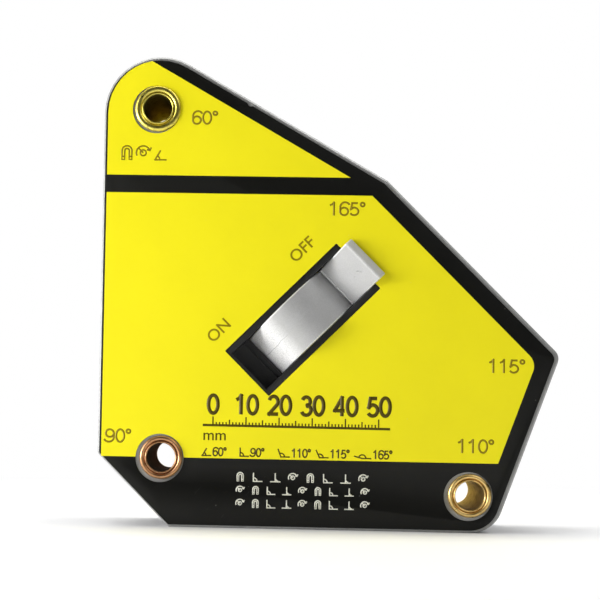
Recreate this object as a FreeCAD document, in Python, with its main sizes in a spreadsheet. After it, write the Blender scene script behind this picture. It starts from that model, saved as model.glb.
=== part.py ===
import FreeCAD, Part
import math
import os
import Sketcher
from FreeCAD import Placement, Rotation, Vector

# Switchable multi-angle welding magnet: two steel pole plates round a split core, a lever
# drum that turns two rotor magnets, and three brass eyelets that hold the stack together.
#
# Millimetres, +Z up. The origin is under the middle of the part: X across the plates,
# Y from the lever side to the back, Z up from the bottom work edge.

os.makedirs("parts", exist_ok=True)
doc = FreeCAD.newDocument("welding_magnet_holder")

# ---------------------------------------------------------------------------
# Driving dimensions
# ---------------------------------------------------------------------------

DIMENSIONS = {
    # plate outline, measured from the corner where the left and bottom edges would meet
    "right_reach": 117.06,      # square distance from that corner to the 110 degree side
    "slant_reach": 141.86,      # to the side between the 165 and 115 degree corners
    "roof_reach": 140.70,       # to the side between the 60 and 165 degree corners
    "right_angle": 70.0,        # direction of each side, from the bottom edge
    "slant_angle": 135.0,
    "roof_angle": 150.0,
    "top_radius": 18.0,
    "foot_radius": 10.2,
    "side_radius": 3.6,
    "corner_cut": 22.8,
    "cut_radius": 1.5,
    "half_width": 72.1,
    # stack, front to back
    "plate_thick": 4.0,
    "plate_bevel": 0.6,
    "core_depth": 27.0,
    "core_inset": 1.5,
    "label_thick": 0.25,
    "label_inset": 1.0,
    # eyelets and their sleeves
    "bore_radius": 4.5,
    "tube_radius": 5.3,
    "flange_radius": 6.8,
    "inner_bead": 0.5,
    "outer_bead": 0.65,
    "bead_seat": 0.45,
    "inner_lift": 0.3,          # how far the inner bead stands above the outer one
    "wide_flange": 7.3,         # the top eyelet is rolled out further than the other two
    "label_hole_radius": 7.6,
    "sleeve_radius": 7.0,
    "sleeve_play": 0.1,
    # slot and lever
    "slot_x": 64.1,
    "slot_z": 65.9,
    "slot_length": 48.8,
    "slot_width": 19.8,
    "slot_angle": 45.0,
    "axis_depth": 13.5,         # rotor axis below the outer face of the front plate
    "drum_radius": 17.2,
    "lever_width": 15.4,
    "lever_edge": 0.4,
    "bezel_recess": 0.1,
    "bezel_side": 2.05,
    "bezel_end": 0.9,
    "bezel_depth": 6.6,
    "well_depth": 5.6,
    "drum_gap": 1.1,
    # rotor, along its axis on each side of the lever
    "axle_radius": 3.0,
    "axle_half": 45.8,
    "magnet_radius": 8.0,
    "magnet_length": 26.0,
    "rotor_gap": 0.3,
    "shoe_half": 13.0,
    "shoe_start": 11.5,
    "shoe_length": 27.0,
    "shoe_split": 3.0,
    "bush_radius": 5.5,
    "bush_length": 5.0,
    "bush_play": 0.03,
    "washer_radius": 6.4,
    "washer_thick": 0.8,
    "washer_play": 0.1,
    "chamber_play": 0.4,
    "key_width": 2.0,
    "key_length": 18.0,
    "ring_radius": 5.0,
    "ring_groove": 2.5,
    "ring_thick": 0.8,
    "ring_offset": 0.4,         # from the end of the bush to the ring
    "ring_opening": 2.4,
    "ring_pocket": 7.0,
    "ring_pocket_length": 3.0,
}

sheet = doc.addObject("Spreadsheet::Sheet", "Dimensions")
for row, (alias, value) in enumerate(DIMENSIONS.items(), 1):
    sheet.set(f"A{row}", alias)
    sheet.set(f"B{row}", str(value))
    sheet.setAlias(f"B{row}", alias)
doc.recompute()


def size(alias):
    """The value of one dimension in the sheet."""
    return float(getattr(sheet, alias))


def bind(obj, prop, expression):
    """Drive a property from the sheet; the words in the expression are the sheet's aliases."""
    words = []
    for word in expression.split():
        words.append(f"Dimensions.{word}" if word in DIMENSIONS else word)
    obj.setExpression(prop, " ".join(words))


# Places worked out from the driving dimensions
CORE_HALF = size("core_depth") / 2
FACE = CORE_HALF + size("plate_thick")
AXIS_Y = size("axis_depth") - FACE
DEPTH_SHIFT = 1.2  # puts the origin halfway between the front of the lever and the back eyelets
CORNER = Vector(-size("half_width"), DEPTH_SHIFT, 0)
SLOT_TURN = Rotation(Vector(0, 1, 0), -size("slot_angle"))

# Eyelet centres, from the corner of the outline
EYELETS = {"top": (17.1, 132.5), "left": (20.2, 21.8), "right": (117.0, 11.6)}
LABEL_HOLES = {"top": (17.3, 132.3), "left": (19.8, 21.6), "right": (116.3, 11.4)}
LABEL_SHIFT = Vector(-0.45, 0, -0.25)

# The lever's thumb tab in the slot's own frame: along the slot, and depth from the axis
TAB_ROOT = (15.0, -8.5)
TAB_RIDGE = (26.2, -16.9)
TAB_NOSE = (28.75, -14.9)
TAB_LIP = -14.05
TAB_HEEL = (23.1, -8.8)
TAB_ANCHOR = (14.6, -2.6)
NOSE_RADIUS = 0.9
LEAST_RADIUS = 0.2      # what a rounding shrinks to when its outline is moved inwards
CLEAR = 1.0             # how far a tool stands out of what it cuts


def on_slot(along=0.0, depth=0.0, across=0.0, turn=None):
    """A placement in the slot's frame: X along the slot, Y deep, Z across, at the rotor axis."""
    centre = Vector(size("slot_x"), AXIS_Y, size("slot_z")) + CORNER
    frame = Placement(centre, SLOT_TURN)
    return frame.multiply(Placement(Vector(along, depth, across), turn or Rotation()))


# ---------------------------------------------------------------------------
# Helpers for PartDesign bodies
# ---------------------------------------------------------------------------

def new_body(label, placement):
    body = doc.addObject("PartDesign::Body", label)
    body.Label = label
    body.Placement = placement
    return body


def new_sketch(body, name, role, offset=None):
    """A sketch on one of the body's own origin planes."""
    sketch = body.newObject("Sketcher::SketchObject", name)
    plane = [item for item in body.Origin.OriginFeatures if item.Role == role][0]
    sketch.AttachmentSupport = [(plane, "")]
    sketch.MapMode = "FlatFace"
    if offset:
        sketch.AttachmentOffset = offset
    return sketch


def constrain(sketch, kind, *args, name=None, expression=None):
    index = sketch.addConstraint(Sketcher.Constraint(kind, *args))
    if name:
        sketch.renameConstraint(index, name)
        if expression:
            bind(sketch, f"Constraints.{name}", expression)
    return index


def pad(body, sketch, expression, reverse=False, both=False):
    feature = body.newObject("PartDesign::Pad", sketch.Name + "_pad")
    feature.Profile = sketch
    bind(feature, "Length", expression)
    feature.Reversed = reverse
    if both:
        feature.Midplane = True
    doc.recompute()
    return feature


def pocket(body, sketch, expression=None, reverse=False, both=False):
    """Cut a profile: to a bound length, or through everything. It must remove material."""
    before = body.Shape.Volume
    feature = body.newObject("PartDesign::Pocket", sketch.Name + "_pocket")
    feature.Profile = sketch
    if expression:
        bind(feature, "Length", expression)
    else:
        feature.Type = "ThroughAll"
    feature.Reversed = reverse
    if both:
        feature.Midplane = True
    doc.recompute()
    if body.Shape.Volume >= before - 1e-6:
        raise RuntimeError(f"{feature.Name} cuts nothing")
    return feature


def line(sketch, start, end):
    return sketch.addGeometry(Part.LineSegment(Vector(*start, 0), Vector(*end, 0)))


def add_outline(body, name, inset="0"):
    """The five-cornered outline on the XZ plane, moved inwards by the inset.

    Each side is held by its direction and its distance from the corner where the left
    and bottom edges would meet, so every inset of it stays parallel.
    """
    inwards = size(inset) if inset in DIMENSIONS else 0.0
    radians = {side: math.radians(size(side + "_angle")) for side in ("right", "slant", "roof")}
    reach = {side: size(side + "_reach") - inwards for side in radians}
    cut = size("corner_cut") + inwards * (math.sqrt(2) - 1)

    def crossing(first, second):
        """Where two sides meet."""
        s1, c1 = math.sin(radians[first]), math.cos(radians[first])
        s2, c2 = math.sin(radians[second]), math.cos(radians[second])
        scale = s2 * c1 - s1 * c2
        x = (reach[second] * c1 - reach[first] * c2) / scale
        z = (reach[second] * s1 - reach[first] * s2) / scale
        return (x, z)

    foot = ((reach["right"] + inwards * math.cos(radians["right"])) / math.sin(radians["right"]), inwards)
    side = crossing("right", "slant")
    apex = crossing("slant", "roof")
    top = (inwards, (reach["roof"] - inwards * math.sin(radians["roof"])) / -math.cos(radians["roof"]))

    def arc_between(before, corner, after, radius):
        """The ends, centre and angles of an arc that rounds a corner."""
        a = Vector(*before, 0) - Vector(*corner, 0)
        b = Vector(*after, 0) - Vector(*corner, 0)
        a.normalize()
        b.normalize()
        half = a.getAngle(b) / 2
        run = radius / math.tan(half)
        middle = a + b
        middle.normalize()
        origin = Vector(*corner, 0)
        centre = origin + middle * (radius / math.sin(half))
        return origin + a * run, origin + b * run, centre

    def add_arc(ends, radius):
        start, end, centre = ends
        circle = Part.Circle(centre, Vector(0, 0, 1), radius)
        first = math.atan2(start.y - centre.y, start.x - centre.x)
        last = math.atan2(end.y - centre.y, end.x - centre.x)
        return sketch.addGeometry(Part.ArcOfCircle(circle, first, last))

    cut_low, cut_high = (cut, inwards), (inwards, cut)
    radii = {part: size(part + "_radius") - inwards for part in ("foot", "side", "top")}
    radii["cut"] = max(size("cut_radius") - inwards, LEAST_RADIUS)
    low_arc = arc_between(cut_high, cut_low, foot, radii["cut"])
    foot_arc = arc_between(cut_low, foot, side, radii["foot"])
    side_arc = arc_between(foot, side, apex, radii["side"])
    top_arc = arc_between(apex, top, cut_high, radii["top"])
    high_arc = arc_between(top, cut_high, cut_low, radii["cut"])

    sketch = new_sketch(body, name, "XZ_Plane")
    low_turn = add_arc(low_arc, radii["cut"])
    base = line(sketch, low_arc[1][:2], foot_arc[0][:2])
    foot_turn = add_arc(foot_arc, radii["foot"])
    right = line(sketch, foot_arc[1][:2], side_arc[0][:2])
    side_turn = add_arc(side_arc, radii["side"])
    slant = line(sketch, side_arc[1][:2], apex)
    roof = line(sketch, apex, top_arc[0][:2])
    top_turn = add_arc(top_arc, radii["top"])
    left = line(sketch, top_arc[1][:2], high_arc[0][:2])
    high_turn = add_arc(high_arc, radii["cut"])
    cut_edge = line(sketch, high_arc[1][:2], low_arc[0][:2])

    for before, after in ((low_turn, base), (base, foot_turn), (foot_turn, right),
                          (right, side_turn), (side_turn, slant), (roof, top_turn),
                          (top_turn, left), (left, high_turn), (high_turn, cut_edge),
                          (cut_edge, low_turn)):
        constrain(sketch, "Tangent", before, 2, after, 1)
    constrain(sketch, "Coincident", slant, 2, roof, 1)
    constrain(sketch, "Horizontal", base)
    constrain(sketch, "Vertical", left)
    for index, side_name in ((right, "right"), (slant, "slant"), (roof, "roof")):
        constrain(sketch, "Angle", index, radians[side_name],
                  name=side_name + "_way", expression=f"{side_name}_angle * 1 deg")
        constrain(sketch, "Distance", -1, 1, index, reach[side_name],
                  name=side_name + "_off", expression=f"{side_name}_reach - {inset}")
    for index, part in ((foot_turn, "foot"), (side_turn, "side"), (top_turn, "top")):
        constrain(sketch, "Radius", index, radii[part],
                  name=part + "_round", expression=f"{part}_radius - {inset}")
    least = f"{LEAST_RADIUS} mm"
    for index, name in ((low_turn, "cut_low_round"), (high_turn, "cut_high_round")):
        constrain(sketch, "Radius", index, radii["cut"],
                  name=name, expression=f"max( cut_radius * 1 mm - {inset} * 1 mm ; {least} )")
    if inwards:
        constrain(sketch, "DistanceY", -1, 1, base, 1, inwards, name="base_off", expression=inset)
        constrain(sketch, "DistanceX", -1, 1, left, 2, inwards, name="left_off", expression=inset)
    else:
        constrain(sketch, "PointOnObject", base, 1, -1)
        constrain(sketch, "PointOnObject", left, 2, -2)
    # The cut lies at 45 degrees, symmetric about the corner
    constrain(sketch, "Angle", cut_edge, -math.pi / 4)
    constrain(sketch, "Distance", -1, 1, cut_edge, (cut + inwards) / math.sqrt(2),
              name="cut_off", expression=f"corner_cut / sqrt(2) + {inset}")
    return sketch


def add_circles(body, name, centres, radius, shift=Vector()):
    """Holes on the XZ plane, one for each centre, all with one bound radius."""
    sketch = new_sketch(body, name, "XZ_Plane")
    for place, (x, z) in centres.items():
        centre = Vector(x - shift.x, z - shift.z, 0)
        index = sketch.addGeometry(Part.Circle(centre, Vector(0, 0, 1), size(radius)))
        constrain(sketch, "Radius", index, size(radius), name=place + "_hole", expression=radius)
        constrain(sketch, "DistanceX", -1, 1, index, 3, centre.x, name=place + "_x")
        constrain(sketch, "DistanceY", -1, 1, index, 3, centre.y, name=place + "_z")
    return sketch


def add_slot(body, name, shift=Vector()):
    """The lever slot on the XZ plane, square to its own direction."""
    centre = Vector(size("slot_x") - shift.x, size("slot_z") - shift.z, 0)
    turn = Rotation(Vector(0, 0, 1), size("slot_angle"))
    sketch = new_sketch(body, name, "XZ_Plane", Placement(centre, turn))
    half_u, half_v = size("slot_length") / 2, size("slot_width") / 2
    corners = [(-half_u, -half_v), (half_u, -half_v), (half_u, half_v), (-half_u, half_v)]
    sides = [line(sketch, corners[i], corners[(i + 1) % 4]) for i in range(4)]
    for i in range(4):
        constrain(sketch, "Coincident", sides[i], 2, sides[(i + 1) % 4], 1)
        constrain(sketch, "Vertical" if i % 2 else "Horizontal", sides[i])
    constrain(sketch, "DistanceX", sides[0], 1, sides[0], 2, 2 * half_u,
              name="long", expression="slot_length")
    constrain(sketch, "DistanceY", sides[1], 1, sides[1], 2, 2 * half_v,
              name="wide", expression="slot_width")
    constrain(sketch, "Symmetric", sides[0], 1, sides[1], 2, -1, 1)
    return sketch


# ---------------------------------------------------------------------------
# Helpers for primitives in the slot's frame
# ---------------------------------------------------------------------------

def box(name, low, high):
    """A block between two corners of the slot's frame, measured from the rotor axis."""
    block = doc.addObject("Part::Box", name)
    block.Length, block.Width, block.Height = [h - l for l, h in zip(low, high)]
    block.Placement = on_slot(*low)
    return block


def rod(name, radius, length, across):
    """A cylinder along the rotor axis that starts at a place across the slot."""
    cylinder = doc.addObject("Part::Cylinder", name)
    bind(cylinder, "Radius", radius)
    bind(cylinder, "Height", length)
    cylinder.Placement = on_slot(across=across)
    return cylinder


def cut(label, base, tools):
    """A base less its tools, as one object."""
    tool = tools[0]
    if len(tools) > 1:
        tool = doc.addObject("Part::MultiFuse", label + "_tools")
        tool.Shapes = tools
    result = doc.addObject("Part::Cut", label)
    result.Base = base
    result.Tool = tool
    result.Label = label
    return result


# ---------------------------------------------------------------------------
# Plates, core halves and labels
# ---------------------------------------------------------------------------

def at_depth(depth, shift=Vector()):
    """The placement of a plate whose sketch plane is at a depth from the mid-plane."""
    return Placement(CORNER + shift + Vector(0, depth, 0), Rotation())


def bevel_face_edges(body, feature, depth):
    """Bevel the outline's edges on the outer face, not those of the slot or the holes."""
    face_edges = []
    for number, edge in enumerate(feature.Shape.Edges, 1):
        extent = edge.BoundBox
        if abs(extent.YMin - depth) < 1e-6 and abs(extent.YMax - depth) < 1e-6:
            face_edges.append(f"Edge{number}")
    if not face_edges:
        raise RuntimeError(f"{body.Label} has no outline edges to bevel")
    bevel = body.newObject("PartDesign::Chamfer", body.Name + "_bevel")
    bevel.Base = (feature, face_edges)
    bind(bevel, "Size", "plate_bevel")
    doc.recompute()
    return bevel


def make_pole_plate(label, front):
    """A steel pole plate; its outline is bevelled on the face that is looked at."""
    body = new_body(label, at_depth(-CORE_HALF if front else CORE_HALF))
    outline = add_outline(body, label + "_outline")
    blank = pad(body, outline, "plate_thick", reverse=not front)
    outer = -size("plate_thick") if front else size("plate_thick")
    bevel_face_edges(body, blank, outer)
    holes = add_circles(body, label + "_holes", EYELETS, "tube_radius")
    pocket(body, holes, "plate_thick", reverse=front)
    if front:
        slot = add_slot(body, label + "_slot")
        pocket(body, slot, "plate_thick", reverse=True)
    return body


def make_core_blank(label, front):
    """Half of the core, from the rotor axis to one plate, before its hollows are cut."""
    body = new_body(label + "_blank", at_depth(AXIS_Y))
    outline = add_outline(body, label + "_outline", "core_inset")
    depth = "axis_depth - plate_thick" if front else "core_depth + plate_thick - axis_depth"
    pad(body, outline, depth, reverse=not front)
    holes = add_circles(body, label + "_holes", EYELETS, "sleeve_radius")
    pocket(body, holes, depth, reverse=front)
    return body


def make_label(label, front):
    """A printed plastic sheet stuck on a plate, a little off centre."""
    body = new_body(label, at_depth(-FACE if front else FACE, LABEL_SHIFT if front else Vector()))
    outline = add_outline(body, label + "_outline", "label_inset")
    pad(body, outline, "label_thick", reverse=not front)
    shift = LABEL_SHIFT if front else Vector()
    holes = add_circles(body, label + "_holes", LABEL_HOLES, "label_hole_radius", shift)
    pocket(body, holes, "label_thick", reverse=front)
    if front:
        slot = add_slot(body, label + "_slot", shift)
        pocket(body, slot, "label_thick", reverse=True)
    return body


# ---------------------------------------------------------------------------
# Eyelets and sleeves
# ---------------------------------------------------------------------------

def make_eyelet(place, centre):
    """A brass tube with both ends rolled over: an inner bead, a groove and an outer bead."""
    position = CORNER + Vector(centre[0], 0, centre[1])
    body = new_body(f"eyelet_{place}", Placement(position, Rotation()))
    sketch = new_sketch(body, f"eyelet_{place}_profile", "XY_Plane")
    bore, tube = size("bore_radius"), size("tube_radius")
    flange = size("wide_flange" if place == "top" else "flange_radius")
    inner, seat = size("inner_bead"), size("bead_seat")
    step = bore + 2 * inner
    inner_seat = seat + size("inner_lift")

    def side(way):
        """One rolled end, from the bore to the tube's outside; way is the outward direction."""
        def bead(start, end, height, rise):
            foot = way * (FACE + height)
            crest = Vector((start + end) / 2, foot + way * rise, 0)
            return Part.Arc(Vector(start, foot, 0), crest, Vector(end, foot, 0))

        arcs = [bead(bore, step, inner_seat, inner),
                bead(step, flange, seat, size("outer_bead"))]
        lines = [((step, way * (FACE + inner_seat)), (step, way * (FACE + seat))),
                 ((flange, way * (FACE + seat)), (flange, way * FACE)),
                 ((flange, way * FACE), (tube, way * FACE))]
        return arcs, lines

    for way in (-1, 1):
        arcs, lines = side(way)
        for arc in arcs:
            sketch.addGeometry(arc)
        for start, end in lines:
            line(sketch, start, end)
    line(sketch, (bore, -(FACE + inner_seat)), (bore, FACE + inner_seat))
    line(sketch, (tube, -FACE), (tube, FACE))
    turn = body.newObject("PartDesign::Revolution", f"eyelet_{place}_turn")
    turn.Profile = sketch
    turn.ReferenceAxis = (sketch, ["V_Axis"])
    turn.Angle = 360
    doc.recompute()
    return body


def make_sleeve(place, centre):
    """A steel tube between the plates that takes the clamping force of the eyelet."""
    label = f"sleeve_{place}"
    solids = []
    for name, radius in (("outside", "sleeve_radius"), ("inside", "tube_radius + sleeve_play")):
        cylinder = doc.addObject("Part::Cylinder", f"{label}_{name}")
        bind(cylinder, "Radius", radius)
        bind(cylinder, "Height", "core_depth")
        position = CORNER + Vector(centre[0], CORE_HALF, centre[1])
        cylinder.Placement = Placement(position, Rotation(Vector(1, 0, 0), 90))
        solids.append(cylinder)
    return cut(label, solids[0], solids[1:])


# ---------------------------------------------------------------------------
# Lever and its bezel
# ---------------------------------------------------------------------------

def make_lever():
    """A drum on the rotor axis with a thumb tab that leans out over the end of the slot."""
    body = new_body("lever", on_slot())
    drum = new_sketch(body, "lever_drum", "XY_Plane")
    rim = drum.addGeometry(Part.Circle(Vector(), Vector(0, 0, 1), size("drum_radius")))
    constrain(drum, "Coincident", rim, 3, -1, 1)
    constrain(drum, "Radius", rim, size("drum_radius"), name="rim", expression="drum_radius")
    pad(body, drum, "lever_width", both=True)

    tab = new_sketch(body, "lever_tab", "XY_Plane")
    under_nose = (TAB_NOSE[0] - NOSE_RADIUS, TAB_LIP)
    corners = [TAB_ROOT, TAB_RIDGE, TAB_NOSE, under_nose, (TAB_HEEL[0], TAB_LIP), TAB_HEEL, TAB_ANCHOR]
    for i, corner in enumerate(corners):
        line(tab, corner, corners[(i + 1) % len(corners)])
    pad(body, tab, "lever_width", both=True)

    bore = new_sketch(body, "lever_bore", "XY_Plane")
    hole = bore.addGeometry(Part.Circle(Vector(), Vector(0, 0, 1), size("axle_radius")))
    constrain(bore, "Coincident", hole, 3, -1, 1)
    constrain(bore, "Radius", hole, size("axle_radius"), name="hole", expression="axle_radius")
    last = pocket(body, bore, "lever_width", both=True)

    ridge = []
    for number, edge in enumerate(last.Shape.Edges, 1):
        middle = edge.CenterOfMass
        for u, y in (TAB_RIDGE, TAB_NOSE):
            if math.hypot(middle.x - u, middle.y - y) < 0.01:
                ridge.append(f"Edge{number}")
    rounding = body.newObject("PartDesign::Fillet", "lever_rounding")
    rounding.Base = (last, ridge)
    bind(rounding, "Radius", "lever_edge")
    doc.recompute()
    return body


def make_bezel():
    """The black tub that lines the slot: side rims, end walls and a shallow floor at one end."""
    top = -size("axis_depth") + size("bezel_recess")
    half_u, half_v = size("slot_length") / 2, size("slot_width") / 2
    inner_u, inner_v = half_u - size("bezel_end"), half_v - size("bezel_side")
    floor = -size("axis_depth") + size("well_depth")
    bottom = top + size("bezel_depth")
    block = box("bezel_block", (-half_u, top, -half_v), (half_u, bottom, half_v))
    well = box("bezel_well", (-inner_u, top - CLEAR, -inner_v), (inner_u, floor, inner_v))
    edge = size("drum_radius") + size("drum_gap")
    opening = box("bezel_opening", (-edge, top - CLEAR, -inner_v), (inner_u, bottom + CLEAR, inner_v))
    return cut("lever_bezel", block, [well, opening])


# ---------------------------------------------------------------------------
# Rotor, shoes and bearings; "upper" is the side nearer the top left
# ---------------------------------------------------------------------------

def spans(start, length):
    """Where a piece starts across the slot on each side of the lever."""
    return {"upper": start, "lower": -start - length}


def make_rotor():
    """The axle with its two ring magnets, their keys and the rings that keep it in."""
    pieces = []
    magnet_start = size("shoe_start") + (size("shoe_length") - size("magnet_length")) / 2
    key_start = magnet_start + (size("magnet_length") - size("key_length")) / 2
    ring_start = (size("shoe_start") + size("shoe_length") + size("bush_length")
                  + size("ring_offset"))
    half_key = size("key_width") / 2
    key_low = -size("axle_radius") - half_key
    key_high = key_low + size("key_width")
    half_gap = size("ring_opening") / 2

    def key_block(name, start):
        stop = start + size("key_length")
        return box(name, (-half_key, key_low, start), (half_key, key_high, stop))

    axle_tools = []
    for side, start in spans(key_start, size("key_length")).items():
        key = key_block(f"drive_key_{side}", start)
        key.Label = f"drive_key_{side}"
        pieces.append(key)
        axle_tools.append(key_block(f"axle_keyway_{side}", start))
    for side, start in spans(ring_start, size("ring_thick")).items():
        groove = cut(f"axle_groove_{side}",
                     rod(f"axle_groove_blank_{side}", "ring_radius", "ring_thick", start),
                     [rod(f"axle_groove_core_{side}", "ring_groove", "ring_thick", start)])
        axle_tools.append(groove)
        gap = box(f"ring_gap_{side}", (-half_gap, 0, start - CLEAR),
                  (half_gap, size("ring_radius") + CLEAR, start + size("ring_thick") + CLEAR))
        ring = cut(f"retaining_ring_{side}",
                   rod(f"ring_blank_{side}", "ring_radius", "ring_thick", start),
                   [rod(f"ring_hole_{side}", "ring_groove", "ring_thick", start), gap])
        pieces.append(ring)
    axle = rod("axle_blank", "axle_radius", "2 * axle_half", -size("axle_half"))
    pieces.append(cut("axle_pin", axle, axle_tools))
    for side, start in spans(magnet_start, size("magnet_length")).items():
        blank = rod(f"magnet_blank_{side}", "magnet_radius", "magnet_length", start)
        hole = rod(f"magnet_hole_{side}", "axle_radius", "magnet_length", start)
        keyway = key_block(f"magnet_keyway_{side}", spans(key_start, size("key_length"))[side])
        pieces.append(cut(f"rotor_magnet_{side}", blank, [hole, keyway]))
    return pieces


def make_shoe(side, start, front):
    """A steel block with a round recess that carries the flux from the rotor to one plate."""
    face = "front" if front else "back"
    label = f"pole_shoe_{face}_{side}"
    near, far = -size("axis_depth") + size("plate_thick"), CORE_HALF - AXIS_Y
    split = size("shoe_split") / 2
    low, high = (near, -split) if front else (split, far)
    half = size("shoe_half")
    block = box(label + "_block", (-half, low, start), (half, high, start + size("shoe_length")))
    recess = rod(label + "_recess", "magnet_radius + rotor_gap", "shoe_length", start)
    return cut(label, block, [recess])


def make_bush(side, start):
    outside = rod(f"bush_outside_{side}", "bush_radius", "bush_length", start)
    inside = rod(f"bush_inside_{side}", "axle_radius + bush_play", "bush_length", start)
    return cut(f"axle_bush_{side}", outside, [inside])


def make_washer(side, start):
    outside = rod(f"washer_outside_{side}", "washer_radius", "washer_thick", start)
    inside = rod(f"washer_inside_{side}", "axle_radius + washer_play", "washer_thick", start)
    return cut(f"friction_washer_{side}", outside, [inside])


def make_core(label, front):
    """A core half with the hollows for the lever, the tub, shoes, bushes and rotor."""
    near = -size("axis_depth") + size("plate_thick") - CLEAR
    far = CORE_HALF - AXIS_Y + CLEAR
    half_u, half_v = size("slot_length") / 2, size("slot_width") / 2
    chamber = size("lever_width") / 2 + size("washer_play") + size("washer_thick")
    half = size("shoe_half")
    low, high = (near, -size("shoe_split") / 2) if front else (size("shoe_split") / 2, far)
    drum = doc.addObject("Part::Cylinder", label + "_drum_room")
    bind(drum, "Radius", "drum_radius + chamber_play")
    drum.Height = 2 * chamber
    drum.Placement = on_slot(across=-chamber)
    tools = [drum]
    for side, start in spans(size("shoe_start"), size("shoe_length")).items():
        stop = start + size("shoe_length")
        tools.append(box(f"{label}_shoe_room_{side}", (-half, low, start), (half, high, stop)))
        tools.append(rod(f"{label}_magnet_room_{side}", "magnet_radius + rotor_gap",
                         "shoe_length", start))
    bush_start = size("shoe_start") + size("shoe_length")
    for side, start in spans(bush_start, size("bush_length")).items():
        tools.append(rod(f"{label}_bush_room_{side}", "bush_radius", "bush_length", start))
    for side, start in spans(bush_start + size("bush_length"), size("ring_pocket_length")).items():
        tools.append(rod(f"{label}_ring_room_{side}", "ring_pocket", "ring_pocket_length", start))
    tools.append(rod(label + "_axle_room", "axle_radius + washer_play", "2 * axle_half",
                     -size("axle_half")))
    if front:
        bottom = -size("axis_depth") + size("bezel_recess") + size("bezel_depth")
        tools.append(box(label + "_bezel_room", (-half_u, near, -half_v), (half_u, bottom, half_v)))
        tools.append(box(label + "_tab_room", (0, near, -chamber),
                         (half_u - size("bezel_end"), TAB_ANCHOR[1], chamber)))
    return cut(label, make_core_blank(label, front), tools)


# ---------------------------------------------------------------------------
# The assembly
# ---------------------------------------------------------------------------

parts = [
    make_pole_plate("front_pole_plate", True),
    make_pole_plate("back_pole_plate", False),
    make_core("core_front", True),
    make_core("core_back", False),
    make_label("front_label", True),
    make_label("back_label", False),
    make_lever(),
    make_bezel(),
]
for place, centre in EYELETS.items():
    parts.append(make_eyelet(place, centre))
    parts.append(make_sleeve(place, centre))
parts += make_rotor()
for side, start in spans(size("shoe_start"), size("shoe_length")).items():
    parts.append(make_shoe(side, start, True))
    parts.append(make_shoe(side, start, False))
for side, start in spans(size("shoe_start") + size("shoe_length"), size("bush_length")).items():
    parts.append(make_bush(side, start))
washer_start = size("lever_width") / 2 + size("washer_play")
for side, start in spans(washer_start, size("washer_thick")).items():
    parts.append(make_washer(side, start))

doc.recompute()
for item in doc.Objects:
    if "Invalid" in item.State or "Error" in item.State:
        raise RuntimeError(f"{item.Label} did not build: {item.State}")
for piece in parts:
    if piece.Shape.isNull() or not piece.Shape.isValid() or not piece.Shape.Solids:
        raise RuntimeError(f"{piece.Label} has no valid solid")

for piece in parts:
    piece.Shape.exportStep(f"parts/{piece.Label}.step")
    print(f"{piece.Label:24s} solids {len(piece.Shape.Solids)}  volume {piece.Shape.Volume:10.1f}")
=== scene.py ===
"""Switchable welding magnet holder: its looks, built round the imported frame.

Laid out as a Blender add-on and run as a script. Metres; X across the plates, Y from the
lever side to the back, Z up from the bottom work edge.
"""
import math

import bmesh
import bpy
from mathutils import Matrix, Vector, noise
from mathutils.geometry import tessellate_polygon


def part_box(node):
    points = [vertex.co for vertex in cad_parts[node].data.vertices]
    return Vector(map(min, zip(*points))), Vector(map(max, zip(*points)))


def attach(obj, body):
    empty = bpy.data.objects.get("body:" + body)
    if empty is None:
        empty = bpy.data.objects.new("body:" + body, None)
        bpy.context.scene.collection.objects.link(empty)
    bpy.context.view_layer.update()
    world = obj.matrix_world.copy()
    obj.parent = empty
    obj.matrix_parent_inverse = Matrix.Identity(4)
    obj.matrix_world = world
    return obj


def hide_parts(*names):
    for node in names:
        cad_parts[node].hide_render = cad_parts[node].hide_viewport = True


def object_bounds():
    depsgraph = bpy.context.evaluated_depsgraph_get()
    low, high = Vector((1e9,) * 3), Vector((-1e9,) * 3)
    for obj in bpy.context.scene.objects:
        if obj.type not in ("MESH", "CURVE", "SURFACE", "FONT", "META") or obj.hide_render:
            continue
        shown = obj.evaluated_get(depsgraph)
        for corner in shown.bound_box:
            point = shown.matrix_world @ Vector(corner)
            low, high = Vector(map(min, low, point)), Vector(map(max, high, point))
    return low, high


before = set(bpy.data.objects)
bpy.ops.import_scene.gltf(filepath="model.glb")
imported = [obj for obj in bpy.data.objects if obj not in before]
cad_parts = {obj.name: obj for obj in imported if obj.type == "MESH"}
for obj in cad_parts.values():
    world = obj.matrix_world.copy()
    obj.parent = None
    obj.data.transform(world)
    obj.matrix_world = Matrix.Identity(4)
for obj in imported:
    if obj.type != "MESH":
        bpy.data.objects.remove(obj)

bl_info = {
    "name": "Welding magnet holder",
    "version": (1, 0, 0),
    "blender": (4, 5, 0),
    "location": "3D Viewport > Sidebar > Magnet holder",
    "description": "Builds a switchable multi-angle welding magnet holder round its frame",
    "category": "Object",
}

MM = 0.001
CAD_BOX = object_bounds()

# Places taken from the frame
PLATE_LOW, PLATE_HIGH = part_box("front_pole_plate")
LABEL_LOW, LABEL_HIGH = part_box("front_label")
AXLE_LOW, AXLE_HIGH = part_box("axle_pin")
BEZEL_LOW, BEZEL_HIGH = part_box("lever_bezel")
CORNER_X = PLATE_LOW.x
FRONT_FACE = PLATE_LOW.y
BACK_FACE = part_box("back_pole_plate")[1].y
LABEL_FACE = LABEL_LOW.y
BACK_LABEL_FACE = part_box("back_label")[1].y
PLATE_THICK = PLATE_HIGH.y - PLATE_LOW.y
LABEL_THICK = LABEL_HIGH.y - LABEL_LOW.y

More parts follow.
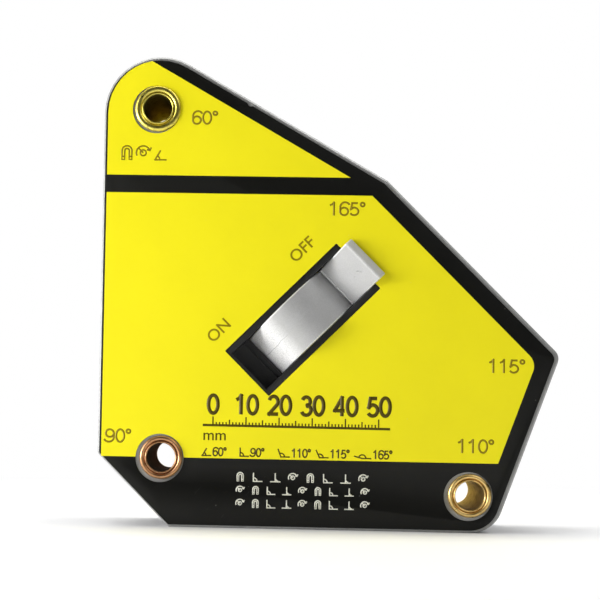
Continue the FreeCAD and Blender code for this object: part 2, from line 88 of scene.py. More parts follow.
# The slot's own frame: along the slot, depth, across the slot, from the rotor axis
AXIS = (AXLE_LOW + AXLE_HIGH) / 2
ROOT_HALF = math.sqrt(0.5)
SLOT = Matrix((
    (ROOT_HALF, 0, -ROOT_HALF, AXIS.x),
    (0, 1, 0, AXIS.y),
    (ROOT_HALF, 0, ROOT_HALF, AXIS.z),
    (0, 0, 0, 1),
))

# Outline sides, going round from the bottom edge: outward direction in degrees, distance from
# the corner where the left and bottom edges would meet, and the rounding at the side's end
SIDES = (
    ("bottom", -90.0, 0.0, 10.2),
    ("right", -20.0, 117.06, 3.6),
    ("slant", 45.0, 141.86, 0.3),
    ("roof", 60.0, 140.70, 18.0),
    ("left", 180.0, 0.0, 1.5),
    ("cut", 225.0, -16.12, 1.5),
)


SLOT_ROUND = 0.35 * MM
SLOT_HALF_WIDTH = 9.9 * MM
# A small chip in the front sheet: the side's number, the place along it, width and depth
ROOF_NICK = (3, 49.5 * MM, 2.0 * MM, 0.55 * MM)
# Height of a capital in Blender's own font, as a share of its size
CAPITAL = 0.69


def eyelet_centre(node):
    low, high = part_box(node)
    return (low + high) / 2


# Settings

def length(name, value, description):
    """A length property, its default given in millimetres."""
    return bpy.props.FloatProperty(name=name, description=description, default=value * MM,
                                   subtype="DISTANCE", unit="LENGTH", precision=5)


def share(name, value, description):
    return bpy.props.FloatProperty(name=name, description=description, default=value,
                                   min=0.0, max=1.0, subtype="FACTOR")


def colour(name, value, description):
    return bpy.props.FloatVectorProperty(name=name, description=description, default=value,
                                         size=3, min=0.0, max=1.0, subtype="COLOR")


def power(name, value, description):
    return bpy.props.FloatProperty(name=name, description=description, default=value, min=0.0,
                                   unit="POWER")


class PlateSettings(bpy.types.PropertyGroup):
    """Steel pole plates."""
    face_bevel: length("Face bevel", 0.6, "Bevel of the outline on the outer face")
    soft_edge: length("Soft edge", 0.16, "Rounding left by tumbling on every sharp edge")
    steel: colour("Steel", (0.30, 0.30, 0.29), "Colour of the plates")
    worn_steel: colour("Worn steel", (0.40, 0.40, 0.39), "Colour of rubbed edges")


class LabelSettings(bpy.types.PropertyGroup):
    """Printed sheets."""
    inset: length("Inset", 1.0, "How far the sheet stays inside the plate's outline")
    shift_x: length("Shift X", -0.45, "How far the front sheet is stuck off centre, across")
    shift_z: length("Shift Z", -0.25, "How far the front sheet is stuck off centre, upwards")
    hole_radius: length("Hole radius", 7.6, "Holes punched round the eyelets")
    ink: length("Ink", 0.02, "Height of the print over the sheet")
    margin: length("Margin", 1.2, "Bare edge left by the print")
    black: colour("Black", (0.0060, 0.0060, 0.0050), "Colour of the sheet")
    yellow: colour("Yellow", (0.90, 0.80, 0.012), "Colour of the printed fields")
    olive: colour("Olive", (0.27, 0.20, 0.004), "Colour of the figures")
    umber: colour("Umber", (0.085, 0.062, 0.003), "Colour of the scale")
    white: colour("White", (0.72, 0.72, 0.62), "Colour of the signs on the black band")
    figure_height: length("Figure height", 4.3, "Height of the angle figures")
    figure_stroke: length("Figure stroke", 0.62, "Stroke width of the angle figures")


class LeverSettings(bpy.types.PropertyGroup):
    """Cast lever drum with its thumb tab."""
    drum_radius: length("Drum radius", 17.2, "Radius of the drum")
    width: length("Width", 15.4, "Width of the lever")
    side_round: length("Side rounding", 0.45, "Rounding along both sides")
    axle_radius: length("Axle radius", 3.0, "Hole for the axle")
    tab_grain: length("Tab grain", 0.012, "Height of the casting's grain on the tab")
    drum_grain: length("Drum grain", 0.003, "Height of the grain on the drum")
    flash: length("Flash line", 0.13, "Half width of the line left by the mould's parting")
    # The lip is real geometry; its bright metal is a painted highlight along the tab's root.
    lip: length("Lip", 0.28, "Half width of the rubbed lip at the tab's root")
    paint: colour("Paint", (0.48, 0.48, 0.48), "Silver paint")
    # Near-white paint on the ridges, tab root, sides and the drum's low end: a painted highlight.
    highlight_paint: colour("Worn paint", (0.92, 0.92, 0.92), "Paint rubbed bright")


class EyeletSettings(bpy.types.PropertyGroup):
    """Rolled brass eyelets."""
    bore_radius: length("Bore radius", 4.5, "Clear hole")
    tube_radius: length("Tube radius", 5.3, "Outside of the tube")
    flange_radius: length("Flange radius", 6.8, "Outside of the rolled ends")
    wide_flange: length("Wide flange", 7.3, "Outside of the top eyelet's rolled ends")
    unevenness: length("Unevenness", 0.05, "How uneven the rolled ends are")
    gold: colour("Gold brass", (0.83, 0.58, 0.22), "Clean brass")
    copper: colour("Copper brass", (0.56, 0.30, 0.15), "Brass gone red")
    pale: colour("Pale brass", (0.80, 0.69, 0.14), "Brass of the top eyelet")
    # Near black: a dull film on the brass, and inside the bore painted shade as well.
    patina_and_bore_shade: colour("Patina", (0.030, 0.024, 0.010), "Dull film inside the bore")
    glancing: colour("Glancing tint", (0.95, 0.84, 0.48), "Tint of the brass at a low angle")
    # Darker glancing tint inside the bore: partly dull brass, partly painted shade.
    glancing_bore_shade: colour("Glancing tint in the bore", (0.36, 0.22, 0.11), "The same inside the bore")


class PlasticSettings(bpy.types.PropertyGroup):
    """Core halves and the slot's tub."""
    edge: length("Edge", 0.25, "Rounding of the tub's edges")
    tub: colour("Tub", (0.0100, 0.0100, 0.0098), "Colour of the slot's tub")
    core: colour("Core", (0.016, 0.016, 0.0165), "Colour of the core halves")


class StageSettings(bpy.types.PropertyGroup):
    """Floor, backdrop, lights and camera."""
    floor: colour("Floor", (0.86, 0.86, 0.86), "Colour of the floor and backdrop")
    surround: share("Surround", 0.01, "Even light from all round")
    low_side: power("Low side", 2.0, "Panel low on the left, in front")
    left: power("Left", 1.9, "Panel on the left, above the holder")
    graze: power("Graze", 1.2, "Panel on the left, nearly in line with the plates")
    high_right: power("High right", 1.5, "Panel above and to the right")
    backdrop: power("Backdrop", 16.0, "Panel that lights the backdrop")


class HolderSettings(bpy.types.PropertyGroup):
    """Everything that can be changed about the holder."""
    plates: bpy.props.PointerProperty(type=PlateSettings)
    labels: bpy.props.PointerProperty(type=LabelSettings)
    lever: bpy.props.PointerProperty(type=LeverSettings)
    eyelets: bpy.props.PointerProperty(type=EyeletSettings)
    plastic: bpy.props.PointerProperty(type=PlasticSettings)
    stage: bpy.props.PointerProperty(type=StageSettings)


# Flat shapes: points are (across, up) in metres from the outline's corner

def crossing(first, second):
    """Where two sides meet; a side is (outward direction in degrees, reach in metres)."""
    a, b = math.radians(first[0]), math.radians(second[0])
    scale = math.sin(b - a)
    x = (first[1] * math.sin(b) - second[1] * math.sin(a)) / scale
    z = (second[1] * math.cos(a) - first[1] * math.cos(b)) / scale
    return Vector((x, z))


def round_corner(before, corner, after, radius, steps):
    """Points that round one corner, or the corner itself when the radius is nothing."""
    if radius <= 0:
        return [corner.copy() for _ in range(steps + 1)]
    way_in, way_out = (before - corner).normalized(), (after - corner).normalized()
    half = way_in.angle(way_out) / 2
    centre = corner + (way_in + way_out).normalized() * (radius / math.sin(half))
    start = corner + way_in * (radius / math.tan(half)) - centre
    end = corner + way_out * (radius / math.tan(half)) - centre
    sweep = start.angle_signed(end)
    points = []
    for step in range(steps + 1):
        turn = -sweep * step / steps
        points.append(centre + Matrix.Rotation(turn, 2) @ start)
    return points


def side_polygon(sides, steps=12, nick=None):
    """A closed loop from sides (direction, reach, rounding at the side's end).

    A nick is (side number, place along it, width, depth) of a small chip in that side.
    """
    count = len(sides)
    corners = [crossing(sides[i], sides[(i + 1) % count]) for i in range(count)]
    loop = []
    for i in range(count):
        before, after = corners[i - 1], corners[(i + 1) % count]
        if nick and nick[0] == i:
            along = (corners[i] - before).normalized()
            inward = Vector((-along.y, along.x))
            for shift, bite in ((-0.5, 0.0), (-0.28, 0.55), (-0.05, 1.0), (0.2, 0.75), (0.5, 0.0)):
                place = before + along * (nick[1] + shift * nick[2])
                loop.append(place + inward * (bite * nick[3]))
        loop += round_corner(before, corners[i], after, sides[i][2], steps)
    return loop


def plate_outline(inset, shift=(0.0, 0.0), nick=None):
    """The holder's outline moved inwards, with the same number of points at every inset."""
    sides = []
    for _, way, reach, rounding in SIDES:
        a = math.radians(way)
        moved = reach * MM - inset + shift[0] * math.cos(a) + shift[1] * math.sin(a)
        sides.append((way, moved, max(rounding * MM - inset, 0.2 * MM)))
    return side_polygon(sides, nick=nick)


def on_circle(centre, radius, angle):
    return centre + Vector((math.cos(angle), math.sin(angle))) * radius


def circle_loop(centre, radius, steps=72):
    return [on_circle(centre, radius, i * 2 * math.pi / steps) for i in range(steps)]


def slot_loop(inset, rounding=0.0, steps=4):
    """The lever slot's edge, square to its own direction, from the tub's outside."""
    half_u, half_v = slot_half_sizes()
    centre = Vector((AXIS.x - CORNER_X, AXIS.z))
    corners = [Vector((su * (half_u - inset), sv * (half_v - inset)))
               for su, sv in ((-1, -1), (1, -1), (1, 1), (-1, 1))]
    turn = Matrix.Rotation(math.radians(45), 2)
    loop = []
    for i, corner in enumerate(corners):
        for point in round_corner(corners[i - 1], corner, corners[(i + 1) % 4], rounding, steps):
            loop.append(centre + turn @ point)
    return loop


def slot_half_sizes():
    """Half the slot's length and width, from the tub that fills it.

    The tub lies at 45 degrees, so its box is (length + width) / sqrt 2 wide.
    """
    both = (BEZEL_HIGH.x - BEZEL_LOW.x) / ROOT_HALF / 2
    return both - SLOT_HALF_WIDTH, SLOT_HALF_WIDTH


def to_row(point, y):
    return Vector((CORNER_X + point[0], y, point[1]))


# Skins

# Points closer than this are joined
MERGE = 0.0008 * MM


class Skin:
    """Vertices and faces of one piece, joined into a closed mesh at the end."""

    def __init__(self):
        self.points = []
        self.wear = []
        self.faces = []

    def add(self, points, wear=0.0):
        start = len(self.points)
        self.points += [Vector(p) for p in points]
        self.wear += [wear] * len(points)
        return list(range(start, start + len(points)))

    def band(self, first, second):
        """Quads between two closed loops of vertex numbers."""
        count = len(first)
        for i in range(count):
            j = (i + 1) % count
            self.faces.append((first[i], first[j], second[j], second[i]))

    def stack(self, loops):
        for first, second in zip(loops, loops[1:]):
            self.band(first, second)

    def cap(self, loops):
        """A flat face bounded by the first loop, with the others as holes in it."""
        rings = [[self.points[i] for i in loop] for loop in loops]
        numbers = [i for loop in loops for i in loop]
        for triangle in tessellate_polygon(rings):
            self.faces.append(tuple(numbers[k] for k in triangle))

    def mesh(self, name, sharp=30.0):
        bm = bmesh.new()
        # Per-point wear on the plates; on the lever the same values mark where a highlight is painted.
        layer = bm.verts.layers.float.new("wear")
        made = []
        for point, wear in zip(self.points, self.wear):
            vert = bm.verts.new(point)
            vert[layer] = wear
            made.append(vert)
        for face in self.faces:
            if len(set(face)) == len(face):
                try:
                    bm.faces.new([made[i] for i in face])
                except ValueError:
                    continue
        bmesh.ops.remove_doubles(bm, verts=bm.verts, dist=MERGE)
        bmesh.ops.dissolve_degenerate(bm, edges=bm.edges, dist=MERGE)
        loose = [v for v in bm.verts if not v.link_faces]
        bmesh.ops.delete(bm, geom=loose, context="VERTS")
        bmesh.ops.recalc_face_normals(bm, faces=bm.faces)
        data = bpy.data.meshes.new(name)
        bm.to_mesh(data)
        bm.free()
        shade(data, sharp)
        return data


def shade(data, sharp=30.0):
    """Smooth shading, broken at edges sharper than an angle in degrees."""
    for face in data.polygons:
        face.use_smooth = True
    data.set_sharp_from_angle(angle=math.radians(sharp))


def put(name, data, body, material, stands_for=()):
    """Adds a finished mesh to the scene as a piece that rides on a body."""
    thing = bpy.data.objects.new(name, data)
    bpy.context.scene.collection.objects.link(thing)
    data.materials.clear()
    data.materials.append(material)
    if stands_for:
        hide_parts(*stands_for)
    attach(thing, body)


# Node trees

SOCKETS = {"float": "NodeSocketFloat", "vector": "NodeSocketVector", "colour": "NodeSocketColor",
           "int": "NodeSocketInt", "material": "NodeSocketMaterial", "geometry": "NodeSocketGeometry"}


class Nodes:
    """A node tree being filled. A socket given as a value is linked; anything else is set."""

    def __init__(self, tree):
        self.tree = tree
        self.where = None

    def feed(self, node, values):
        """Feeds inputs by name or number; three numbers make an opaque colour."""
        for key, value in values.items():
            socket = node.inputs[key]
            if isinstance(value, bpy.types.NodeSocket):
                self.tree.links.new(value, socket)
            else:
                socket.default_value = (*value, 1.0) if socket.type == "RGBA" else value

    def add(self, kind, values=None, out=0, **props):
        """Adds a node and returns one of its outputs."""
        node = self.tree.nodes.new(kind)
        for key, value in props.items():
            setattr(node, key, value)
        self.feed(node, values or {})
        return node.outputs[out]

    def math(self, operation, *values):
        return self.add("ShaderNodeMath", dict(enumerate(values)), operation=operation)

    def scaled(self, vector, factor):
        return self.add("ShaderNodeVectorMath", {0: vector, "Scale": factor}, operation="SCALE")

    def xyz(self, x=0.0, y=0.0, z=0.0):
        return self.add("ShaderNodeCombineXYZ", {"X": x, "Y": y, "Z": z})

    def span(self, value, low, high, to_low=0.0, to_high=1.0):
        """Maps a value from one range to another, held at both ends."""
        return self.add("ShaderNodeMapRange", {"Value": value, "From Min": low, "From Max": high,
                                               "To Min": to_low, "To Max": to_high}, clamp=True)

    def mix(self, factor, first, second):
        return self.add("ShaderNodeMix", {0: factor, 6: first, 7: second}, out=2, data_type="RGBA")

    def attribute(self, name):
        return self.add("ShaderNodeAttribute", out="Fac", attribute_name=name)

    def effect(self, name, **values):
        """Places a shared effect by its group's name."""
        return self.add("ShaderNodeGroup", {"Vector": self.where, **values},
                        node_tree=bpy.data.node_groups[name])


class Group(Nodes):
    """A node group with named inputs and one output."""

    def __init__(self, name, kind, inputs, output):
        super().__init__(bpy.data.node_groups.new(name, kind))
        for label, sort, *default in inputs:
            socket = self.tree.interface.new_socket(label, in_out="INPUT", socket_type=SOCKETS[sort])
            if default:
                socket.default_value = default[0]
        self.tree.interface.new_socket(output[0], in_out="OUTPUT", socket_type=SOCKETS[output[1]])
        self.start = self.tree.nodes.new("NodeGroupInput")
        self.end = self.tree.nodes.new("NodeGroupOutput")
        self.where = self.start.outputs.get("Vector")

    def __getitem__(self, label):
        return self.start.outputs[label]

    def give(self, result):
        self.tree.links.new(result, self.end.inputs[0])


# Shared surface effects, with vectors in millimetres

def effect_group(name, output, **inputs):
    """A shader group that takes a Vector and the named inputs: numbers by default, None for a colour."""
    sorts = [(key, "colour") if value is None else (key, "float", value) for key, value in inputs.items()]
    return Group(name, "ShaderNodeTree", [("Vector", "vector"), *sorts], output)


def build_effects():
    """The shader groups that the finishes share."""
    t = effect_group("Grain", ("Value", "float"), Size=1.0, Detail=3.0)
    place = t.scaled(t["Vector"], t.math("DIVIDE", 1.0, t["Size"]))
    cloud = t.add("ShaderNodeTexNoise",
                  {"Vector": place, "Scale": 1.0, "Detail": t["Detail"], "Roughness": 0.55})
    t.give(t.span(cloud, 0.3, 0.7))

    t = effect_group("Tone drift", ("Colour", "colour"), Colour=None, Size=20.0, Amount=0.06)
    grain = t.effect("Grain", Size=t["Size"], Detail=2.0)
    value = t.span(grain, 0.0, 1.0, t.math("SUBTRACT", 1.0, t["Amount"]), t.math("ADD", 1.0, t["Amount"]))
    t.give(t.add("ShaderNodeHueSaturation", {"Value": value, "Color": t["Colour"]}))

    t = effect_group("Scratches", ("Mask", "float"), Across=0.15, Along=6.0, Turn=0.0, Share=0.3)
    turned = t.add("ShaderNodeVectorRotate", {"Vector": t["Vector"], "Axis": (0, 1, 0), "Angle": t["Turn"]})
    along, across = (t.math("DIVIDE", 1.0, t[key]) for key in ("Along", "Across"))
    stretched = t.add("ShaderNodeVectorMath", {0: turned, 1: t.xyz(along, across, across)},
                      operation="MULTIPLY")
    cloud = t.add("ShaderNodeTexNoise", {"Vector": stretched, "Scale": 1.0, "Detail": 2.0})
    edge = t.math("SUBTRACT", 0.78, t.math("MULTIPLY", t["Share"], 0.3))
    t.give(t.span(cloud, edge, t.math("ADD", edge, 0.06)))

    t = effect_group("Specks", ("Mask", "float"), Spacing=3.0, Radius=0.12, Share=0.3)
    cells = t.add("ShaderNodeTexVoronoi", {
        "Vector": t.scaled(t["Vector"], t.math("DIVIDE", 1.0, t["Spacing"])), "Scale": 1.0})
    chance = t.add("ShaderNodeSeparateColor", {"Color": cells.node.outputs["Color"]})
    reach = t.math("DIVIDE", t["Radius"], t["Spacing"])
    dot = t.math("LESS_THAN", cells, t.math("MULTIPLY", reach, chance.node.outputs["Green"]))
    t.give(t.math("MULTIPLY", dot, t.math("LESS_THAN", chance, t["Share"])))

    # Breaks a mask into grains: real edge wear on the plates, painted highlight on the lever.
    t = effect_group("Broken wear", ("Mask", "float"), Wear=0.0, Size=1.5)
    grain = t.effect("Grain", Size=t["Size"], Detail=4.0)
    t.give(t.math("MULTIPLY", t["Wear"], t.span(grain, 0.1, 0.7, 0.35, 1.0)))


# Finishes

class Finish(Nodes):
    """A material with one Principled shader; where is object coordinates in millimetres."""

    def __init__(self, name, **sockets):
        self.material = bpy.data.materials.new(name)
        self.material.use_nodes = True
        super().__init__(self.material.node_tree)
        self.tree.nodes.clear()
        principled = self.add("ShaderNodeBsdfPrincipled",
                              {key.replace("_", " "): value for key, value in sockets.items()})
        self.shader = principled.node
        self.output = self.tree.nodes.new("ShaderNodeOutputMaterial")
        self.feed(self.output, {"Surface": principled})
        self.where = self.scaled(self.add("ShaderNodeTexCoord", out="Object"), 1 / MM)

    def done(self, colour, roughness, height, depth):
        """Feeds the shader; the height runs from 0 to 1 and its depth is in millimetres."""
        raised = self.add("ShaderNodeBump", {"Height": height, "Distance": depth * MM, "Strength": 1.0})
        self.feed(self.shader, {"Base Color": colour, "Roughness": roughness, "Normal": raised})
        return self.material


def steel_finish(settings):
    """Cold-rolled plate: dull grey, finely scratched, brighter where the edges are rubbed."""
    f = Finish("plate_steel", Metallic=0.4)
    base = f.effect("Tone drift", Colour=settings.steel, Size=9.0, Amount=0.12)
    grain = f.effect("Grain", Size=0.35)
    scratches = f.effect("Scratches", Across=0.09, Along=7.0, Turn=0.35, Share=0.45)
    wear_and_highlight_amount = f.effect("Broken wear", Wear=f.attribute("wear"), Size=1.2)
    tint = f.mix(wear_and_highlight_amount, base, settings.worn_steel)
    tint = f.mix(f.math("MULTIPLY", scratches, 0.45), tint, settings.worn_steel)
    height = f.math("SUBTRACT", f.math("MULTIPLY", grain, 0.5), scratches)
    return f.done(tint, f.span(grain, 0.0, 1.0, 0.38, 0.52), height, 0.012)


def sheet_finish(name, tint, drift, dust):
    """Printed plastic film: satin, a little uneven, with a few specks of dust."""
    f = Finish(name, Specular_IOR_Level=0.2)
    base = f.effect("Tone drift", Colour=tint, Size=28.0, Amount=drift)
    fibre = f.effect("Grain", Size=0.5)
    scuffs = f.effect("Scratches", Across=0.07, Along=5.0, Turn=0.9, Share=0.12)
    specks = f.effect("Specks", Spacing=5.0, Radius=0.35, Share=0.22)
    marks = f.math("MAXIMUM", scuffs, specks)
    pale = f.mix(f.math("MULTIPLY", marks, dust), base, (0.6, 0.6, 0.57))
    return f.done(pale, f.span(fibre, 0.0, 1.0, 0.34, 0.44), fibre, 0.004)


def lever_finish(settings):
    """Silver paint over a casting: fine sparkle, with the paint lightened as a painted highlight on its
    ridges, tab root, sides and the drum's low end.
    """
    f = Finish("lever_paint", Metallic=0.38)
    base = f.effect("Tone drift", Colour=settings.paint, Size=6.0, Amount=0.03)
    dotted = f.effect("Tone drift", Colour=base, Size=0.3, Amount=0.07)
    sparkle = f.effect("Grain", Size=0.22, Detail=2.0)
    # Painted highlight: the paint turns near white where the mesh marks it.
    wear_and_highlight_amount = f.effect("Broken wear", Wear=f.attribute("wear"), Size=0.28)
    tint = f.mix(wear_and_highlight_amount, dotted, settings.highlight_paint)
    return f.done(tint, f.span(sparkle, 0.0, 1.0, 0.46, 0.58), sparkle, 0.006)


def brass_finish(settings):
    """Rolled brass: tone differs from eyelet to eyelet; inside the bore the wall is painted near black and
    its glancing tint darkened, partly a dull film and partly painted shade.
    """
    f = Finish("eyelet_brass", Metallic=1.0)
    tone, bore = f.attribute("tone"), f.attribute("bore")
    redder = f.mix(f.span(tone, 0.0, 0.5), settings.copper, settings.gold)
    tint = f.mix(f.span(tone, 0.5, 1.0), redder, settings.pale)
    base = f.effect("Tone drift", Colour=tint, Size=2.2, Amount=0.10)
    rubbed = f.effect("Scratches", Across=0.06, Along=1.4, Turn=0.6, Share=0.4)
    tarnish_and_shade = f.effect("Grain", Size=1.6, Detail=5.0)
    dulled = f.mix(f.math("MULTIPLY", f.span(tarnish_and_shade, 0.55, 1.0), 0.35), base, settings.patina_and_bore_shade)
    # Painted shade in the bore: a darker glancing tint there.
    glancing = f.mix(bore, settings.glancing, settings.glancing_bore_shade)
    f.feed(f.shader, {"Specular Tint": glancing})
    spread = f.math("ADD", f.math("MULTIPLY", tarnish_and_shade, 0.14), f.math("MULTIPLY", bore, 0.35))
    # Painted shade in the bore: its wall turns near black, along with the dull film.
    return f.done(f.mix(bore, dulled, settings.patina_and_bore_shade), f.math("ADD", spread, 0.26), rubbed, 0.004)


def moulded_finish(name, tint, seam_at=None):
    """Moulded black plastic: spark-eroded texture, with the line where two halves meet."""
    f = Finish(name)
    base = f.effect("Tone drift", Colour=tint, Size=14.0, Amount=0.12)
    height = grain = f.effect("Grain", Size=0.28, Detail=4.0)
    scuffs = f.effect("Scratches", Across=0.12, Along=4.0, Turn=1.2, Share=0.25)
    tone = f.mix(f.math("MULTIPLY", scuffs, 0.05), base, (0.5, 0.5, 0.5))
    if seam_at is not None:
        depth = f.add("ShaderNodeSeparateXYZ", {"Vector": f.where}, out="Y")
        line = f.span(f.math("ABSOLUTE", f.math("SUBTRACT", depth, seam_at / MM)), 0.05, 0.22, 1.0, 0.0)
        tone = f.mix(line, tone, (0.002, 0.002, 0.002))
        height = f.math("SUBTRACT", grain, f.math("MULTIPLY", line, 6.0))
    return f.done(tone, f.span(grain, 0.0, 1.0, 0.42, 0.58), height, 0.02)


def metal_finish(name, tint, roughness, size, metallic=1.0, drift=0.1, scratch=0.3):
    """Turned, plated or ground metal for the parts inside."""
    f = Finish(name, Metallic=metallic)
    base = f.effect("Tone drift", Colour=tint, Size=size * 6, Amount=drift)
    grain = f.effect("Grain", Size=size, Detail=4.0)
    marks = f.effect("Scratches", Across=size * 0.25, Along=size * 12, Turn=0.785, Share=scratch)
    tone = f.mix(f.math("MULTIPLY", marks, 0.3), base, tuple(min(1.0, c * 1.6) for c in tint))
    return f.done(tone, f.span(grain, 0.0, 1.0, roughness - 0.07, roughness + 0.09), grain, 0.006)


# Geometry node trees

class Shape(Group):
    """A geometry tree for one piece; it ends by realizing it and giving it its material."""

    def __init__(self, name, inputs):
        super().__init__(name, "GeometryNodeTree",
                         [("Geometry", "geometry"), *inputs, ("Material", "material")],
                         ("Geometry", "geometry"))

    def curve(self):
        return self.add("GeometryNodeMeshToCurve", {"Mesh": self["Geometry"]})

    def level(self, curve):
        return self.add("GeometryNodeSetCurveNormal", {"Curve": curve}, mode="Z_UP")

    def circle(self, steps, radius):
        return self.add("GeometryNodeCurvePrimitiveCircle", {"Resolution": steps, "Radius": radius},
                        mode="RADIUS")

    def sweep(self, curve, profile, caps):
        return self.add("GeometryNodeCurveToMesh",
                        {"Curve": curve, "Profile Curve": profile, "Fill Caps": caps})

    def move(self, geometry, place, turn=(0.0, 0.0, 0.0)):
        return self.add("GeometryNodeTransform",
                        {"Geometry": geometry, "Translation": place, "Rotation": turn})

    def give(self, geometry):
        whole = self.add("GeometryNodeRealizeInstances", {"Geometry": geometry})
        super().give(self.add("GeometryNodeSetMaterial",
                              {"Geometry": whole, "Material": self["Material"]}))


UPRIGHT = (math.pi / 2, 0.0, 0.0)


def ink_stroke_tree():
    """Flat strokes of ink along drawn lines, laid on a face that looks along -Y or +Y."""
    t = Shape("Ink strokes", [("Stroke width", "float", 0.4 * MM), ("Ink height", "float", 0.04 * MM),
                              ("Face", "float", 0.0)])
    nib = t.add("GeometryNodeCurvePrimitiveQuadrilateral",
                {"Width": t["Stroke width"], "Height": t["Ink height"]}, mode="RECTANGLE")
    t.give(t.move(t.sweep(t.level(t.curve()), nib, True), t.xyz(y=t["Face"]), UPRIGHT))
    return t.tree


def scale_tree():
    """A printed scale: ticks at a steady pitch, longer at every fifth and tenth."""
    t = Shape("Printed scale", [
        ("Start", "vector"), ("Step", "vector"), ("Ticks", "int", 51), ("Tick width", "float", 0.3 * MM),
        ("Tick height", "float", 1.0 * MM), ("Ink height", "float", 0.04 * MM)])
    row = t.add("GeometryNodeMeshLine",
                {"Count": t["Ticks"], "Start Location": t["Start"], "Offset": t["Step"]}, mode="OFFSET")
    number = t.add("GeometryNodeInputIndex")
    tall = 1.0
    for every, more in ((5.0, 0.8), (10.0, 0.9)):
        due = t.math("COMPARE", t.math("MODULO", number, every), 0.0, 0.1)
        tall = t.math("ADD", t.math("MULTIPLY", due, more), tall)
    block = t.add("GeometryNodeMeshCube",
                  {"Size": t.xyz(t["Tick width"], t["Ink height"], t["Tick height"])})
    foot = t.move(block, t.xyz(z=t.math("MULTIPLY", t["Tick height"], 0.5)))
    t.give(t.add("GeometryNodeInstanceOnPoints",
                 {"Points": row, "Instance": foot, "Scale": t.xyz(1.0, 1.0, tall)}))
    return t.tree


def eyelet_tree():
    """One rolled eyelet: a profile turned round a circle, placed and made slightly uneven."""
    t = Shape("Rolled eyelet", [
        ("Path radius", "float", 4.5 * MM), ("Sections", "int", 96), ("Unevenness", "float", 0.05 * MM),
        ("Centre", "vector"), ("Tone", "float", 0.5)])
    ring = t.level(t.circle(t["Sections"], t["Path radius"]))
    laid = t.move(t.sweep(ring, t.curve(), False), t["Centre"], UPRIGHT)
    marked = t.add("GeometryNodeStoreNamedAttribute",
                   {"Geometry": laid, "Name": "tone", "Value": t["Tone"]}, data_type="FLOAT", domain="POINT")
    cloud = t.add("ShaderNodeTexNoise", {"Vector": t.add("GeometryNodeInputPosition"), "Scale": 210.0,
                                         "Detail": 1.0}, out="Color")
    centred = t.add("ShaderNodeVectorMath", {0: cloud, 1: (0.5, 0.5, 0.5)}, operation="SUBTRACT")
    offset = t.scaled(centred, t.math("MULTIPLY", t["Unevenness"], 2.0))
    t.give(t.add("GeometryNodeSetPosition", {"Geometry": marked, "Offset": offset}))
    return t.tree


def bead_tree():
    """A thin round bead along a path, such as the flash where a mould's halves met."""
    t = Shape("Bead", [("Radius", "float", 0.1 * MM)])
    t.give(t.sweep(t.curve(), t.circle(10, t["Radius"]), True))
    return t.tree


def run_nodes(name, host_mesh, tree, values):
    """Runs a geometry tree on a host mesh and returns the result as a plain mesh."""
    host = bpy.data.objects.new(name + "_host", host_mesh)
    bpy.context.scene.collection.objects.link(host)
    modifier = host.modifiers.new("Build", "NODES")
    modifier.node_group = tree
    for item in tree.interface.items_tree:
        if item.item_type == "SOCKET" and item.in_out == "INPUT" and item.name in values:
            modifier[item.identifier] = values[item.name]
    graph = bpy.context.evaluated_depsgraph_get()
    data = bpy.data.meshes.new_from_object(host.evaluated_get(graph))
    bpy.data.objects.remove(host)
    data.name = name
    if not data.polygons:
        raise RuntimeError(f"{name} came out empty")
    return data


def line_mesh(name, lines, closed=()):
    """A host mesh of edges: one chain for each list of points, the closed ones given by number."""
    points, edges = [], []
    for number, chain in enumerate(lines):
        start = len(points)
        points += [tuple(p) for p in chain]
        edges += [(start + i, start + i + 1) for i in range(len(chain) - 1)]
        if number in closed:
            edges.append((start + len(chain) - 1, start))
    data = bpy.data.meshes.new(name)
    data.from_pydata(points, edges, [])
    return data


# Plates

def flat_centre(node, shift=(0.0, 0.0)):
    """An eyelet's centre in the plates' own plane."""
    centre = eyelet_centre(node)
    return Vector((centre.x - CORNER_X + shift[0], centre.z + shift[1]))


def round_hole(node, radius, shift=(0.0, 0.0)):
    """Makes the loop of a hole about an eyelet, grown by any amount."""
    return lambda grow: circle_loop(flat_centre(node, shift), radius + grow)


def cut_skin(parts):
    """A flat piece as one closed skin. The first part is its outline and the others are holes.

    A part is (edge, maker): the edge lists (inset, Y, wear) from one face to the other, and the
    maker gives the loop for an inset.
    """
    skin = Skin()
    near, far = [], []
    for edge, maker in parts:
        rings = [skin.add([to_row(p, y) for p in maker(inset)], wear) for inset, y, wear in edge]
        skin.stack(rings)
        near.append(rings[0])
        far.append(rings[-1])
    skin.cap(near)
    skin.cap(far)
    return skin


